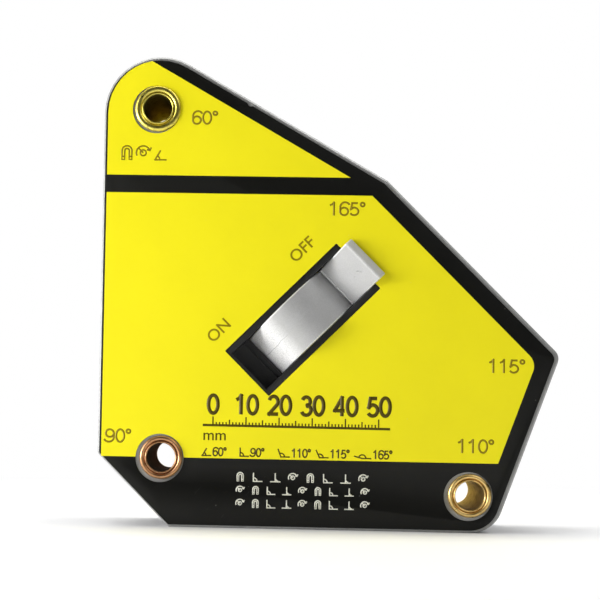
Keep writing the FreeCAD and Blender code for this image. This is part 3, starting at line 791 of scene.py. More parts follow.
def plate_skin(settings, outer, inward, with_slot):
    """One pole plate. Outer is the face's depth; inward is +1 if the plate lies behind it."""
    bevel, soft = settings.face_bevel, settings.soft_edge
    tube = bpy.context.scene.magnet_holder.eyelets.tube_radius
    rim = (
        (bevel + 0.6 * soft, 0.0, 0.2), (bevel, 0.12 * soft, 0.9), (bevel - 0.5 * soft, 0.5 * soft, 1.0),
        (0.55 * soft, bevel - 0.5 * soft, 0.7), (0.12 * soft, bevel, 0.9), (0.0, bevel + 0.6 * soft, 0.4),
        (0.0, PLATE_THICK - soft, 0.2), (0.3 * soft, PLATE_THICK - 0.3 * soft, 0.9),
        (soft, PLATE_THICK, 0.3),
    )
    hole_rim = [(inset, depth, 0.0) for inset, depth in (
        (soft, 0.0), (0.3 * soft, 0.3 * soft), (0.0, soft),
        (0.0, PLATE_THICK - soft), (0.3 * soft, PLATE_THICK - 0.3 * soft), (soft, PLATE_THICK))]
    edge, hole_edge = ([(inset, outer + inward * depth, wear) for inset, depth, wear in rows]
                       for rows in (rim, hole_rim))
    parts = [(edge, plate_outline)]
    parts += [(hole_edge, round_hole(node, tube)) for node in EYELET_LOOKS]
    if with_slot:
        parts.append((hole_edge, lambda grow: slot_loop(-grow, SLOT_ROUND + grow)))
    return cut_skin(parts)


class HOLDER_OT_plates(bpy.types.Operator):
    """Build both steel pole plates"""
    bl_idname = "holder.plates"
    bl_label = "Pole plates"

    def execute(self, context):
        settings = context.scene.magnet_holder.plates
        steel = steel_finish(settings)
        for side, face, inward in (("front", FRONT_FACE, 1), ("back", BACK_FACE, -1)):
            data = plate_skin(settings, face, inward, side == "front").mesh(f"{side}_plate_steel")
            put(data.name, data, "housing", steel, [f"{side}_pole_plate"])
        return {"FINISHED"}


# Sheets and print

def sheet_skin(settings, face, outward, shift, with_slot, nick):
    """The film itself: thin, with softened edges and punched holes."""
    soft = 0.07 * MM
    edge = [(inset, face - outward * depth, 0.0) for inset, depth in (
        (0.0, LABEL_THICK), (0.0, soft), (0.35 * soft, 0.3 * soft), (soft, 0.0))]
    parts = [(edge, lambda inset: plate_outline(settings.inset + inset, shift, nick))]
    parts += [(edge, round_hole(node, settings.hole_radius, shift)) for node in EYELET_LOOKS]
    if with_slot:
        parts.append((edge, lambda inset: slot_loop(-0.02 * MM - inset, SLOT_ROUND)))
    return cut_skin(parts)


def print_fields(settings):
    """Outlines of the two yellow fields, from the outline's corner."""
    m = settings.margin
    upper = clip_sides([(60.0, 135.47), (-90.17, -111.28)], m)
    lower = side_polygon([
        (-90.05, -21.86 * MM, 0.2 * MM), (-20.0, 110.69 * MM, 4.7 * MM), (45.0, 134.98 * MM, 0.2 * MM),
        (89.83, 105.66 * MM, 0.2 * MM), (180.0, -m, 0.2 * MM)], steps=10)
    return upper, lower


def clip_sides(sides, margin):
    """The outline at a margin, cut by straight lines given as (direction, reach in mm)."""
    loop = plate_outline(margin)
    for way, reach in sides:
        a = math.radians(way)
        normal = Vector((math.cos(a), math.sin(a)))
        kept = []
        for i, point in enumerate(loop):
            other = loop[(i + 1) % len(loop)]
            here, there = normal.dot(point) - reach * MM, normal.dot(other) - reach * MM
            if here <= 0:
                kept.append(point)
            if here * there < 0:
                kept.append(point.lerp(other, here / (here - there)))
        loop = kept
    return loop


def field_mesh(name, settings, loop, face, outward, with_slot, shift):
    """One printed field, with the sheet's holes and slot left clear."""
    edge = ((0.0, face + outward * settings.ink, 0.0), (0.0, face - outward * 0.5 * settings.ink, 0.0))
    radius = settings.hole_radius + 0.02 * MM
    holes = []
    cut_loop = list(loop)
    for node in EYELET_LOOKS:
        hole = round_hole(node, radius, shift)
        inside = [point_inside(p, loop) for p in hole(0.0)]
        if all(inside):
            holes.append((edge, hole))
        elif any(inside):
            cut_loop = bite(cut_loop, flat_centre(node, shift), radius)
    if with_slot and point_inside(Vector((AXIS.x - CORNER_X, AXIS.z)), loop):
        holes.append((edge, lambda _: slot_loop(-0.05 * MM, SLOT_ROUND)))
    return cut_skin([(edge, lambda _: cut_loop), *holes]).mesh(name)


def point_inside(point, loop):
    inside = False
    for i, a in enumerate(loop):
        b = loop[i - 1]
        if (a.y > point.y) != (b.y > point.y):
            if point.x < (b.x - a.x) * (point.y - a.y) / (b.y - a.y) + a.x:
                inside = not inside
    return inside


def bite(loop, centre, radius):
    """The loop with a round bite taken out of one straight side."""
    result = []
    for i, point in enumerate(loop):
        from_centre = point - centre
        if from_centre.length > radius:
            result.append(point)
        edge = loop[(i + 1) % len(loop)] - point
        if edge.length < 1e-9:
            continue
        a, b, c = edge.dot(edge), 2 * edge.dot(from_centre), from_centre.length_squared - radius ** 2
        root = b * b - 4 * a * c
        if root <= 0:
            continue
        first, second = ((-b + sign * math.sqrt(root)) / (2 * a) for sign in (-1, 1))
        if 0 <= first <= 1 and 0 <= second <= 1:
            enter, leave = point + edge * first, point + edge * second
            start, stop = (math.atan2(p.y - centre.y, p.x - centre.x) for p in (enter, leave))
            for way in (1, -1):
                sweep = (stop - start) * way % (2 * math.pi) * way
                if point_inside(on_circle(centre, radius, start + sweep / 2), loop):
                    break
            arc = [on_circle(centre, radius, start + sweep * step / 48) for step in range(1, 48)]
            result += [enter, *arc, leave]
    return result


class HOLDER_OT_sheets(bpy.types.Operator):
    """Build the printed sheets on both faces"""
    bl_idname = "holder.sheets"
    bl_label = "Printed sheets"

    def execute(self, context):
        settings = context.scene.magnet_holder.labels
        black = sheet_finish("sheet_black", settings.black, 0.2, 0.08)
        yellow = sheet_finish("sheet_yellow", settings.yellow, 0.02, 0.05)
        sides = (("front", LABEL_FACE, -1, (settings.shift_x, settings.shift_z), ROOF_NICK),
                 ("back", BACK_LABEL_FACE, 1, (0.0, 0.0), None))
        for side, face, outward, shift, nick in sides:
            film = sheet_skin(settings, face, outward, shift, side == "front", nick)
            put(f"{side}_sheet", film.mesh(f"{side}_sheet"), "housing", black, [f"{side}_label"])
        for side, face, outward, shift, _ in sides:
            for part, loop in zip(("upper", "lower"), print_fields(settings)):
                name = f"{side}_field_{part}"
                data = field_mesh(name, settings, loop, face, outward, side == "front", shift)
                put(name, data, "housing", yellow)
        return {"FINISHED"}


# Figures, words and signs

def oval(cx, cy, rx, ry, start=0.0, stop=360.0, steps=28):
    points = []
    for i in range(steps + 1):
        a = math.radians(start + (stop - start) * i / steps)
        points.append((cx + rx * math.cos(a), cy + ry * math.sin(a)))
    return points


# Figures drawn with single strokes in a cell one unit high: width, then open and closed lines
FIGURES = {
    "0": (0.62, [], [oval(0.27, 0.5, 0.24, 0.46)[:-1]]),
    "1": (0.62, [[(0.06, 0.74), (0.2, 0.82), (0.30, 0.96), (0.30, 0.0)]], []),
    "2": (0.62, [oval(0.27, 0.68, 0.22, 0.27, 165, -35, 16) + [(0.05, 0.05), (0.51, 0.05)]], []),
    "3": (0.62, [oval(0.25, 0.71, 0.20, 0.23, 160, -70, 16)
                 + oval(0.25, 0.28, 0.24, 0.26, 75, -160, 18)], []),
    "4": (0.62, [[(0.52, 0.28), (0.02, 0.28), (0.38, 0.94), (0.38, 0.0)]], []),
    "5": (0.62, [[(0.47, 0.93), (0.13, 0.93), (0.06, 0.47), (0.14, 0.54)]
                 + oval(0.25, 0.32, 0.25, 0.28, 120, -150, 24)], []),
    "6": (0.62, [oval(0.34, 0.62, 0.29, 0.36, 28, 175, 18) + [(0.045, 0.45), (0.045, 0.32)]],
          [oval(0.28, 0.31, 0.235, 0.28)[:-1]]),
    "9": (0.62, [oval(0.21, 0.34, 0.29, 0.30, 200, 355, 18) + [(0.505, 0.5), (0.505, 0.66)]],
          [oval(0.27, 0.67, 0.235, 0.28)[:-1]]),
    "o": (0.34, [], [oval(0.13, 0.83, 0.115, 0.135, steps=20)[:-1]]),
}


def figure_lines(text, height, left, bottom, stretch=1.24):
    """The strokes of a number, placed; the letter o is the degree ring."""
    opened, closed = [], []
    across = height * stretch
    x = left
    for sign in text:
        width, lines, rings = FIGURES[sign]
        for group, target in ((lines, opened), (rings, closed)):
            for chain in group:
                target.append([(x + px * across, bottom + py * height, 0) for px, py in chain])
        x += width * across
    return opened, closed


# Angle figures: text, left and bottom from the outline's corner, in millimetres
ANGLE_FIGURES = (("60o", 28.0, 127.6), ("165o", 71.8, 99.0), ("115o", 122.3, 50.1),
                 ("110o", 112.9, 24.9), ("90o", 2.4, 26.2))


def tidy_mesh(bm, data, merge, sharp):
    """Joins points that lie together, turns the faces outwards and writes the mesh."""
    bmesh.ops.remove_doubles(bm, verts=bm.verts, dist=merge)
    bmesh.ops.recalc_face_normals(bm, faces=bm.faces)
    bm.to_mesh(data)
    bm.free()
    if sharp is not None:
        shade(data, sharp)
    return data


def text_mesh(name, words, ink, face):
    """Words set in Blender's own font. Each is (text, height, x, z, turn in degrees, weight)."""
    whole = bmesh.new()
    for text, height, x, z, turn, weight in words:
        font = bpy.data.curves.new(name, "FONT")
        font.body = text
        font.size = height / CAPITAL
        font.extrude = ink
        font.offset = weight
        font.resolution_u = 6
        font.align_x = "CENTER"
        holder = bpy.data.objects.new(name, font)
        bpy.context.scene.collection.objects.link(holder)
        graph = bpy.context.evaluated_depsgraph_get()
        data = bpy.data.meshes.new_from_object(holder.evaluated_get(graph))
        data.transform(Matrix.Translation((CORNER_X + x, face, z))
                       @ Matrix.Rotation(math.radians(-turn), 4, "Y") @ Matrix.Rotation(math.pi / 2, 4, "X"))
        whole.from_mesh(data)
        bpy.data.objects.remove(holder)
        bpy.data.meshes.remove(data)
        bpy.data.curves.remove(font)
    return tidy_mesh(whole, bpy.data.meshes.new(name), 1e-7, None)


def magnet_sign(x, z, height):
    """A horseshoe magnet: two nested arches joined at the feet, and a bar across each leg."""
    w = height * 0.36
    t = w * 0.45
    bar = z + height * 0.22
    outer = [(x - w, z)] + oval(x, z + height - w, w, w, 180, 0, 20) + [(x + w, z)]
    inner = [(x + t, z)] + oval(x, z + height - w, t, t, 0, 180, 16) + [(x - t, z)]
    return [[(x - w, bar), (x - t, bar)], [(x + t, bar), (x + w, bar)]], [outer + inner]


def angle_sign(x, z, height, degrees):
    """Two arms that open by an angle, with a small arc between them."""
    a = math.radians(degrees)
    arm = height
    tip = (x + arm * math.cos(a), z + arm * math.sin(a))
    arc = oval(x, z, arm * 0.42, arm * 0.42, 0, degrees, 14)
    return [[tip, (x, z), (x + arm * 1.05, z)], arc], []


def lever_sign(x, z, height):
    """A dial with a turning arrow."""
    r = height / 2
    ring = oval(x, z + r, r * 0.42, r * 0.42, steps=20)[:-1]
    arc = oval(x, z + r, r, r, 205, 20, 24)
    end = arc[-1]
    head = [(end[0] - r * 0.42, end[1] + r * 0.12), end, (end[0] + r * 0.22, end[1] + r * 0.45)]
    return [arc, head, [(x, z + r), (x - r * 0.75, z + r * 1.75)]], [ring]


def plates_sign(x, z, height):
    """Two plates that meet, with the bead of a weld between them."""
    h = height
    return [[(x - h * 0.6, z), (x + h * 0.6, z)], [(x, z + h * 0.06), (x, z + h)],
            [(x + h * 0.05, z + h * 0.3), (x + h * 0.14, z + h * 0.16), (x + h * 0.32, z + h * 0.06)]], []


def corner_sign(x, z, height):
    """A square corner held between two plates."""
    return angle_sign(x - height * 0.5, z, height, 90)


def split_at_corners(chain, reach):
    """Cuts a drawn line at its sharp corners and lengthens the cut ends, so a pen's width is kept."""
    points = [Vector(p[:2]) for p in chain]
    pieces, piece = [], [points[0]]
    for before, here, after in zip(points, points[1:], points[2:]):
        piece.append(here)
        if (here - before).angle(after - here) > math.radians(32):
            piece[-1] = here + (here - before).normalized() * reach
            pieces.append(piece)
            piece = [here - (after - here).normalized() * reach]
    piece.append(points[-1])
    pieces.append(piece)
    return pieces


def stroke_piece(name, signs, width, settings, ink, face, tree):
    """Makes one piece of flat ink strokes from open and closed lines."""
    opened = [part for sign in signs for chain in sign[0] for part in split_at_corners(chain, 0.45 * width)]
    closed = [chain for sign in signs for chain in sign[1]]
    # Strokes that cross lie at slightly different heights, so no two faces share a plane
    lines = [[(CORNER_X + p[0], p[1], number % 4 * 0.2 * settings.ink) for p in chain]
             for number, chain in enumerate(opened + closed)]
    rings = set(range(len(opened), len(lines)))
    data = run_nodes(name, line_mesh(name, lines, rings), tree, {
        "Stroke width": width, "Ink height": 2.5 * settings.ink, "Face": face, "Material": ink})
    put(name, data, "housing", ink)


class HOLDER_OT_marks(bpy.types.Operator):
    """Print the angle figures, the lever's two places, a scale and plain signs"""
    bl_idname = "holder.marks"
    bl_label = "Figures and signs"

    def execute(self, context):
        settings = context.scene.magnet_holder.labels
        olive = sheet_finish("ink_olive", settings.olive, 0.08, 0.04)
        umber = sheet_finish("ink_umber", settings.umber, 0.08, 0.04)
        white = sheet_finish("ink_white", settings.white, 0.03, 0.04)
        tree = ink_stroke_tree()
        face = LABEL_FACE - settings.ink

        def draw(name, signs, width, ink, at=face):
            stroke_piece(name, signs, width, settings, ink, at, tree)

        def letter(name, ink, *words):
            put(name, text_mesh(name, words, 1.2 * settings.ink, face), "housing", ink)

        draw("angle_figures", [figure_lines(text, settings.figure_height, x * MM, z * MM)
                               for text, x, z in ANGLE_FIGURES], settings.figure_stroke, olive)
        letter("lever_words", olive, ("OFF", 3.6 * MM, 64.8 * MM, 86.9 * MM, 45.0, 0.05 * MM),
               ("ON", 3.6 * MM, 38.9 * MM, 60.9 * MM, 45.0, 0.05 * MM))

        # The scale: zero stands at first, with 10 mm of scale to every pitch
        first, pitch, foot = 36.4, 10.4, 32.2
        draw("scale_numbers", [
            figure_lines(str(ten * 10), 6.2 * MM, (first + ten * pitch - (3.5 if ten else 1.7)) * MM,
                         35.7 * MM, 1.0) for ten in range(6)], 1.15 * MM, umber)
        letter("scale_unit", umber, ("mm", 3.4 * MM, 37.0 * MM, 27.5 * MM, 0.0, 0.03 * MM))
        ticks = run_nodes("scale_ticks", line_mesh("scale_host", [[(0, 0, 0), (0, 0, MM)]]), scale_tree(), {
            "Start": (CORNER_X + first * MM, face, foot * MM), "Step": (pitch / 10 * MM, 0, 0), "Ticks": 51,
            "Tick width": 0.42 * MM, "Tick height": 1.0 * MM, "Ink height": 2.5 * settings.ink,
            "Material": umber})
        put("scale_ticks", ticks, "housing", umber)
        draw("scale_rule", [([[(33.2 * MM, foot * MM), (92.0 * MM, 31.9 * MM)]], [])], 0.75 * MM, umber)

        signs, captions = [], []
        for number, degrees in enumerate((60, 90, 110, 115, 165)):
            lean = 2.7 * MM * max(0.0, -math.cos(math.radians(degrees)))
            x = (33.2 + number * 11.9) * MM + lean
            signs.append(angle_sign(x, 22.6 * MM, 2.7 * MM, degrees))
            captions.append(figure_lines(f"{degrees}o", 2.7 * MM, x + 3.3 * MM, 22.5 * MM, 1.04))
        draw("angle_signs", signs, 0.42 * MM, umber)
        draw("angle_captions", captions, 0.46 * MM, umber)

        height, bottom = 4.4 * MM, 116.1 * MM
        draw("corner_signs", [magnet_sign(7.4 * MM, bottom, height), lever_sign(12.6 * MM, bottom, height),
                              angle_sign(16.4 * MM, bottom, 0.8 * height, 60)], 0.5 * MM, olive)

        makers = (magnet_sign, lever_sign, plates_sign, corner_sign)
        rows = ((14.8, 8, 2.7), (10.8, 9, 2.4), (6.6, 9, 2.5))
        draw("band_signs", [
            makers[(number * 3 + count) % 4]((45.3 + number * (44.0 / count)) * MM, low * MM, tall * MM)
            for low, count, tall in rows for number in range(count)], 0.36 * MM, white, LABEL_FACE)
        return {"FINISHED"}


# Lever

# The tab, from the root round the ridge and nose to where it meets the drum again:
# (along the slot, depth from the axis) and rounding, in millimetres
TAB = (((15.00, -8.75), 0.20), ((15.25, -9.25), 0.30), ((26.15, -16.95), 0.60), ((28.75, -14.90), 0.60),
       ((28.35, -14.05), 0.45), ((23.10, -14.05), 0.30), ((23.10, -8.80), 0.80), ((16.70, -4.13), 0.30))
# Where the drum's round ends at the tab's root
DRUM_END = (15.0, -8.5)
# Pits in the tab's face: along the slot, across it, and size
PITS = ((22.9, -1.2, 0.26), (21.1, -1.9, 0.22), (23.4, -1.9, 0.12))
# Spacing of points on the tab's face, on the front of the drum and elsewhere
GAP_FINE, GAP_DRUM, GAP_COARSE = 0.22, 0.35, 0.9


def lever_profile(radius):
    """The lever's outline in the plane across its axis, in millimetres, going round once.

    Returns (along, depth, on the tab) for each point.
    """
    tab = [Vector(corner) for corner, _ in TAB]
    angle = math.degrees(math.atan2(tab[-1].y, tab[-1].x))
    last = math.degrees(math.atan2(DRUM_END[1], DRUM_END[0])) + 360
    points = []
    while angle < last:
        a = math.radians(angle)
        points.append((radius * math.cos(a), radius * math.sin(a), 0.0))
        gap = GAP_DRUM if 185 < angle % 360 < 335 else GAP_COARSE
        angle += math.degrees(gap / radius)
    chain = [Vector(points[-1][:2]), *tab, Vector(points[0][:2])]
    rounded = []
    for i, corner in enumerate(tab):
        a, b = chain[i], chain[i + 2]
        reach = min((a - corner).length, (b - corner).length) * 0.45
        half = (a - corner).angle(b - corner) / 2
        rounded += round_corner(a, corner, b, min(TAB[i][1], reach * math.tan(half)), 5)
    for point, other in zip(rounded, rounded[1:]):
        points.append((point.x, point.y, 1.0))
        fine = point.y < -9.0 and point.x < 28.5 and other.x > point.x
        parts = int((other - point).length // (GAP_FINE if fine else GAP_COARSE))
        points += [(*point.lerp(other, k / parts), 1.0) for k in range(1, parts)]
    return points + [(*rounded[-1], 1.0)]


def lever_columns(half, rounding):
    """Places across the lever as (across, drop), with a quarter round at both sides."""
    flat = half - rounding
    steps = int(2 * flat / GAP_FINE)
    middle = [(-flat + 2 * flat * k / steps, 0.0) for k in range(steps + 1)]
    turns = [math.pi / 2 * k / 5 for k in range(1, 6)]
    side = [(flat + rounding * math.sin(a), rounding * (1 - math.cos(a))) for a in turns]
    return [(-across, drop) for across, drop in reversed(side)] + middle + side


def tab_pits(place, normal, across):
    """How far small casting pits sink the tab's face, and their rims lift it, in millimetres."""
    lift = 0.0
    for u, v, size in PITS:
        away = math.hypot(place.x - u, across - v) / size
        if away < 3 and normal.y < -0.5 and normal.x < 0:
            lift += 0.06 * math.exp(-(away - 1.5) ** 2 * 3) - 0.30 * math.exp(-away ** 2 * 1.4)
    return lift


def lever_highlight(place, on_tab):
    """How far the paint is lightened as a painted highlight: at the tab's root and ridge, and on the drum's
    low end.
    """
    if on_tab:
        root = min((place - Vector(TAB[k][0])).length for k in (0, 1))
        ridge = (place - Vector(TAB[2][0])).length
        return max(math.exp(-(root / 0.32) ** 2), math.exp(-(ridge / 0.42) ** 2) * 0.9)
    low_end = (place.x + 6.0) / -4.0
    return 0.85 * min(max(low_end, 0.0), 1.0) if place.y < 0 else 0.0


def lever_skin(settings):
    """The lever as one closed skin: the swept outline, both cheeks and the axle's bore."""
    profile = lever_profile(settings.drum_radius / MM)
    columns = lever_columns(settings.width / MM / 2, settings.side_round / MM)
    count = len(profile)
    flat = [Vector(p[:2]) for p in profile]
    on_tab = [p[2] for p in profile]
    normals = []
    for i in range(count):
        along = flat[(i + 1) % count] - flat[i - 1]
        normals.append(Vector((along.y, -along.x)).normalized())
    wear_and_highlight_amount = [lever_highlight(place, tab) for place, tab in zip(flat, on_tab)]
    skin = Skin()
    loops = []
    for across, drop in columns:
        loop = []
        for place, normal, tab in zip(flat, normals, on_tab):
            point = place - normal * drop
            grain = settings.tab_grain if tab else settings.drum_grain
            spot = Vector((point.x * 1.6, point.y * 1.6, across * 1.6))
            lift = noise.fractal(spot, 1.0, 2.0, 3) * grain / MM
            if tab:
                lift += tab_pits(place, normal, across)
            point = point + normal * lift
            loop.append(SLOT @ Vector((point.x * MM, point.y * MM, across * MM)))
        loops.append(skin.add(loop))
        # The side roundings get a painted highlight, stronger on one side than the other.
        side_highlight = 0.0 if drop <= 0 else (0.75 if across < 0 else 0.35)
        skin.wear[-count:] = [max(wear, side_highlight) for wear in wear_and_highlight_amount]
    skin.stack(loops)
    ends = []
    for loop, (across, _) in ((loops[0], columns[0]), (loops[-1], columns[-1])):
        bore = circle_loop(Vector((0, 0)), settings.axle_radius, 48)
        ends.append(skin.add([SLOT @ Vector((p.x, p.y, across * MM)) for p in bore]))
        skin.cap([loop, ends[-1]])
    skin.band(*ends)
    return skin


def flash_path(settings):
    """The parting line over the drum: nearly central, wandering a little."""
    radius = settings.drum_radius - 0.55 * settings.flash
    path = []
    for step in range(71):
        u = -16.3 + 28.6 * step / 70
        across = 0.25 * math.sin(u * 0.22 + 0.6) + 0.5 * noise.noise(Vector((u * 0.35, 3.7, 0.0)))
        depth = -math.sqrt(radius ** 2 - (u * MM) ** 2)
        path.append(SLOT @ Vector((u * MM, depth, across * MM)))
    return path


def root_path(settings, start, stop):
    """The lip where the tab leaves the drum, across the lever; its bright metal is a painted highlight."""
    half = settings.width / 2 - settings.side_round
    path = []
    for step in range(25):
        share_along = start + (stop - start) * step / 24
        across = -half + 2 * half * share_along
        shake = 0.04 * MM * noise.noise(Vector((share_along * 9, 1.3, 0.0)))
        path.append(SLOT @ Vector((15.32 * MM + shake, -9.42 * MM + shake, across)))
    return path


class HOLDER_OT_lever(bpy.types.Operator):
    """Build the cast lever, its flash line and the lip at the tab's root, whose bright metal is a painted
    highlight
    """
    bl_idname = "holder.lever"
    bl_label = "Lever"

    def execute(self, context):
        settings = context.scene.magnet_holder.lever
        paint = lever_finish(settings)
        data = lever_skin(settings).mesh("lever_casting", sharp=40)
        put("lever_casting", data, "rotor", paint, ["lever"])
        # Near-white metal on the lip: a painted highlight along the tab's root.
        bright = metal_finish("lever_rubbed", (0.93, 0.93, 0.93), 0.34, 0.2, drift=0.03)
        lips = [root_path(settings, 0.0, 0.49), root_path(settings, 0.53, 1.0)]
        tree = bead_tree()
        for name, paths, radius, coat in (("lever_flash", [flash_path(settings)], settings.flash, paint),
                                          ("lever_lip", lips, settings.lip, bright)):
            bead = run_nodes(name, line_mesh(name + "_path", paths), tree,
                             {"Radius": radius, "Material": coat})
            shade(bead, 60)
            put(name, bead, "rotor", coat)
        return {"FINISHED"}


# Eyelets and tub

def eyelet_profile(settings, flange, film):
    """The rolled wall as a closed loop of (radius, depth from the middle, bore darkening); the darkening is a
    dull film and painted shade.

    A narrow inner bead stands round the bore, then a groove, then the wide outer bead.
    """
    bore, tube, flange = (value / MM for value in (settings.bore_radius, settings.tube_radius, flange))
    reach = (BACK_FACE - FRONT_FACE) / 2 / MM
    narrow = 0.31
    groove = bore + 2 * narrow + 0.06
    wide = (flange - groove) / 2
    front = []
    for step in range(17):
        a = math.pi * (1 - step / 16 * 0.93)
        front.append((bore + narrow + narrow * math.cos(a), reach + 0.62 + 0.42 * math.sin(a), 0.0))
    for step in range(25):
        a = math.pi * (0.93 - step / 24 * 0.93)
        front.append((flange - wide + wide * math.cos(a), reach + 0.20 + 0.88 * math.sin(a), 0.0))
    front.append((flange - 0.06, reach + 0.04, 0.0))
    front.append((tube, reach + 0.01, 0.0))
    # Darkening of the bore wall: a dull film and painted shade.
    wall = [(bore, reach + 0.62 - drop, share * film) for drop, share in ((0.4, 0.5), (0.8, 1.0), (6.0, 1.0))]
    half = list(reversed(wall)) + front
    other = [(r, -h, tarnish_and_shade) for r, h, tarnish_and_shade in reversed(half)]
    if groove >= flange:
        raise RuntimeError("the eyelet's beads don't fit inside its flange")
    return half + other


# Brass tone (0 copper red, 0.5 gold, 1 pale) and how dark each bore is painted: a dull film and painted shade
EYELET_LOOKS = {
    "eyelet_top": ("top_eyelet_brass", "wide_flange", 1.0, 0.84),
    "eyelet_left": ("left_eyelet_brass", "flange_radius", 0.0, 1.0),
    "eyelet_right": ("right_eyelet_brass", "flange_radius", 0.5, 0.52),
}


class HOLDER_OT_eyelets(bpy.types.Operator):
    """Build the three rolled brass eyelets"""
    bl_idname = "holder.eyelets"
    bl_label = "Eyelets"

    def execute(self, context):
        settings = context.scene.magnet_holder.eyelets
        brass = brass_finish(settings)
        tree = eyelet_tree()
        middle = (FRONT_FACE + BACK_FACE) / 2
        for node, (name, flange, tone, film) in EYELET_LOOKS.items():
            profile = eyelet_profile(settings, getattr(settings, flange), film)
            loop = [((r - settings.bore_radius / MM) * MM, h * MM, 0) for r, h, _ in profile]
            host = line_mesh("eyelet_host", [loop], closed={0})
            tarnish_and_shade = host.attributes.new("bore", "FLOAT", "POINT")
            tarnish_and_shade.data.foreach_set("value", [amount for _, _, amount in profile])
            centre = eyelet_centre(node)
            data = run_nodes(name, host, tree, {
                "Path radius": settings.bore_radius, "Sections": 96, "Unevenness": settings.unevenness,
                "Centre": (centre.x, middle, centre.z), "Tone": tone, "Material": brass})
            bm = bmesh.new()
            bm.from_mesh(data)
            put(name, tidy_mesh(bm, data, 1e-7, 50), "housing", brass, [node])
        return {"FINISHED"}


def softened_copy(node, name, width, segments):
    """A copy of a frame node with its triangles merged and its edges rounded."""
    bm = bmesh.new()
    bm.from_mesh(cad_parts[node].data)
    bmesh.ops.remove_doubles(bm, verts=bm.verts, dist=1e-6)
    bmesh.ops.dissolve_limit(bm, angle_limit=math.radians(1), verts=bm.verts, edges=bm.edges)
    bmesh.ops.recalc_face_normals(bm, faces=bm.faces)
    sharp = [e for e in bm.edges if e.is_manifold and e.calc_face_angle() > math.radians(30)]
    bmesh.ops.bevel(bm, geom=sharp, offset=width, segments=segments, profile=0.5, affect="EDGES",
                    clamp_overlap=True)
    data = bpy.data.meshes.new(name)
    bm.to_mesh(data)
    bm.free()
    shade(data, 35)
    return data


class HOLDER_OT_tub(bpy.types.Operator):
    """Round the edges of the tub that lines the slot"""
    bl_idname = "holder.tub"
    bl_label = "Slot tub"

    def execute(self, context):
        settings = context.scene.magnet_holder.plastic
        plastic = moulded_finish("tub_plastic", settings.tub)
        data = softened_copy("lever_bezel", "slot_tub", settings.edge, 3)
        put("slot_tub", data, "housing", plastic, ["lever_bezel"])
        return {"FINISHED"}


# Parts carried over from the frame

# Hidden metal parts: start of the node's name, slot, material, colour, roughness, grain in mm, the rest
INNER_METALS = (
    ("sleeve", "inner_steel", "sleeve_zinc", (0.60, 0.62, 0.64), 0.32, 0.8, {}),
    ("axle_pin", "inner_steel", "axle_ground", (0.56, 0.56, 0.57), 0.22, 0.4, {"scratch": 0.5}),
    ("drive_key", "inner_steel", "key_drawn", (0.40, 0.40, 0.42), 0.36, 0.5, {}),
    ("retaining_ring", "inner_steel", "ring_spring", (0.10, 0.10, 0.11), 0.34, 0.3, {}),
    ("rotor_magnet", "magnet_nickel", "magnet_nickel", (0.66, 0.63, 0.58), 0.16, 1.5, {"drift": 0.05}),
    ("pole_shoe", "shoe_iron", "shoe_phosphate", (0.10, 0.10, 0.105), 0.55, 0.4, {"metallic": 0.7}),
    ("axle_bush", "bush_bronze", "bush_sintered", (0.42, 0.24, 0.11), 0.48, 0.25, {}),
    ("friction_washer", "bush_bronze", "washer_bronze", (0.52, 0.33, 0.15), 0.36, 0.5, {}),
)


class HOLDER_OT_inner_parts(bpy.types.Operator):
    """Give the core halves and the parts inside their finishes"""
    bl_idname = "holder.inner_parts"
    bl_label = "Core and inner parts"

    def execute(self, context):
        plastic = context.scene.magnet_holder.plastic
        core = moulded_finish("core_plastic", plastic.core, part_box("core_back")[0].y)
        finishes = {"core": (core, "core_plastic")}
        for kind, slot, name, tint, roughness, size, more in INNER_METALS:
            finishes[kind] = metal_finish(name, tint, roughness, size, **more), slot
        for name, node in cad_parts.items():
            if node.hide_render:
                continue
            kind = next((k for k in finishes if name.startswith(k)), None)
            if kind is None:
                raise RuntimeError(f"{name} has no finish")
            material, slot = finishes[kind]
            node.data.materials.clear()
            node.data.materials.append(material)
        return {"FINISHED"}


# Stage

def cove_mesh():
    """A floor that curves up into a backdrop, open towards the camera."""
    half, back, front, height, radius = 2.2, 0.75, -1.9, 1.7, 0.45
    line = [(front, 0.0), (back - radius, 0.0)]
    for step in range(1, 25):
        a = math.pi / 2 * step / 24
        line.append((back - radius + radius * math.sin(a), radius * (1 - math.cos(a))))
    line.append((back, height))
    verts = [(x, y, z) for y, z in line for x in (-half, half)]
    faces = [(2 * i, 2 * i + 1, 2 * i + 3, 2 * i + 2) for i in range(len(line) - 1)]
    data = bpy.data.meshes.new("cove")
    data.from_pydata(verts, [], faces)
    for face in data.polygons:
        face.use_smooth = True
    return data


def panel_light(name, place, aim, size, power):
    """A soft rectangular light at a place in metres, turned to its aim."""
    light = bpy.data.lights.new(name, "AREA")
    light.shape = "RECTANGLE"
    light.size, light.size_y = size
    light.energy = power
    thing = bpy.data.objects.new(name, light)
    thing.location = place
    thing.rotation_euler = (Vector(aim) - Vector(place)).to_track_quat("-Z", "Y").to_euler()
    thing.visible_camera = False
    bpy.context.scene.collection.objects.link(thing)


def white_to_camera(nodes, kind, surface, amount):
    """Shows plain white to the camera by an amount, and the surface to every other ray."""
    seen = nodes.math("MULTIPLY", nodes.add("ShaderNodeLightPath", out="Is Camera Ray"), amount)
    white = nodes.add(kind, {"Color": (1.0, 1.0, 1.0), "Strength": 1.0})
    return nodes.add("ShaderNodeMixShader", {0: seen, 1: surface, 2: white})


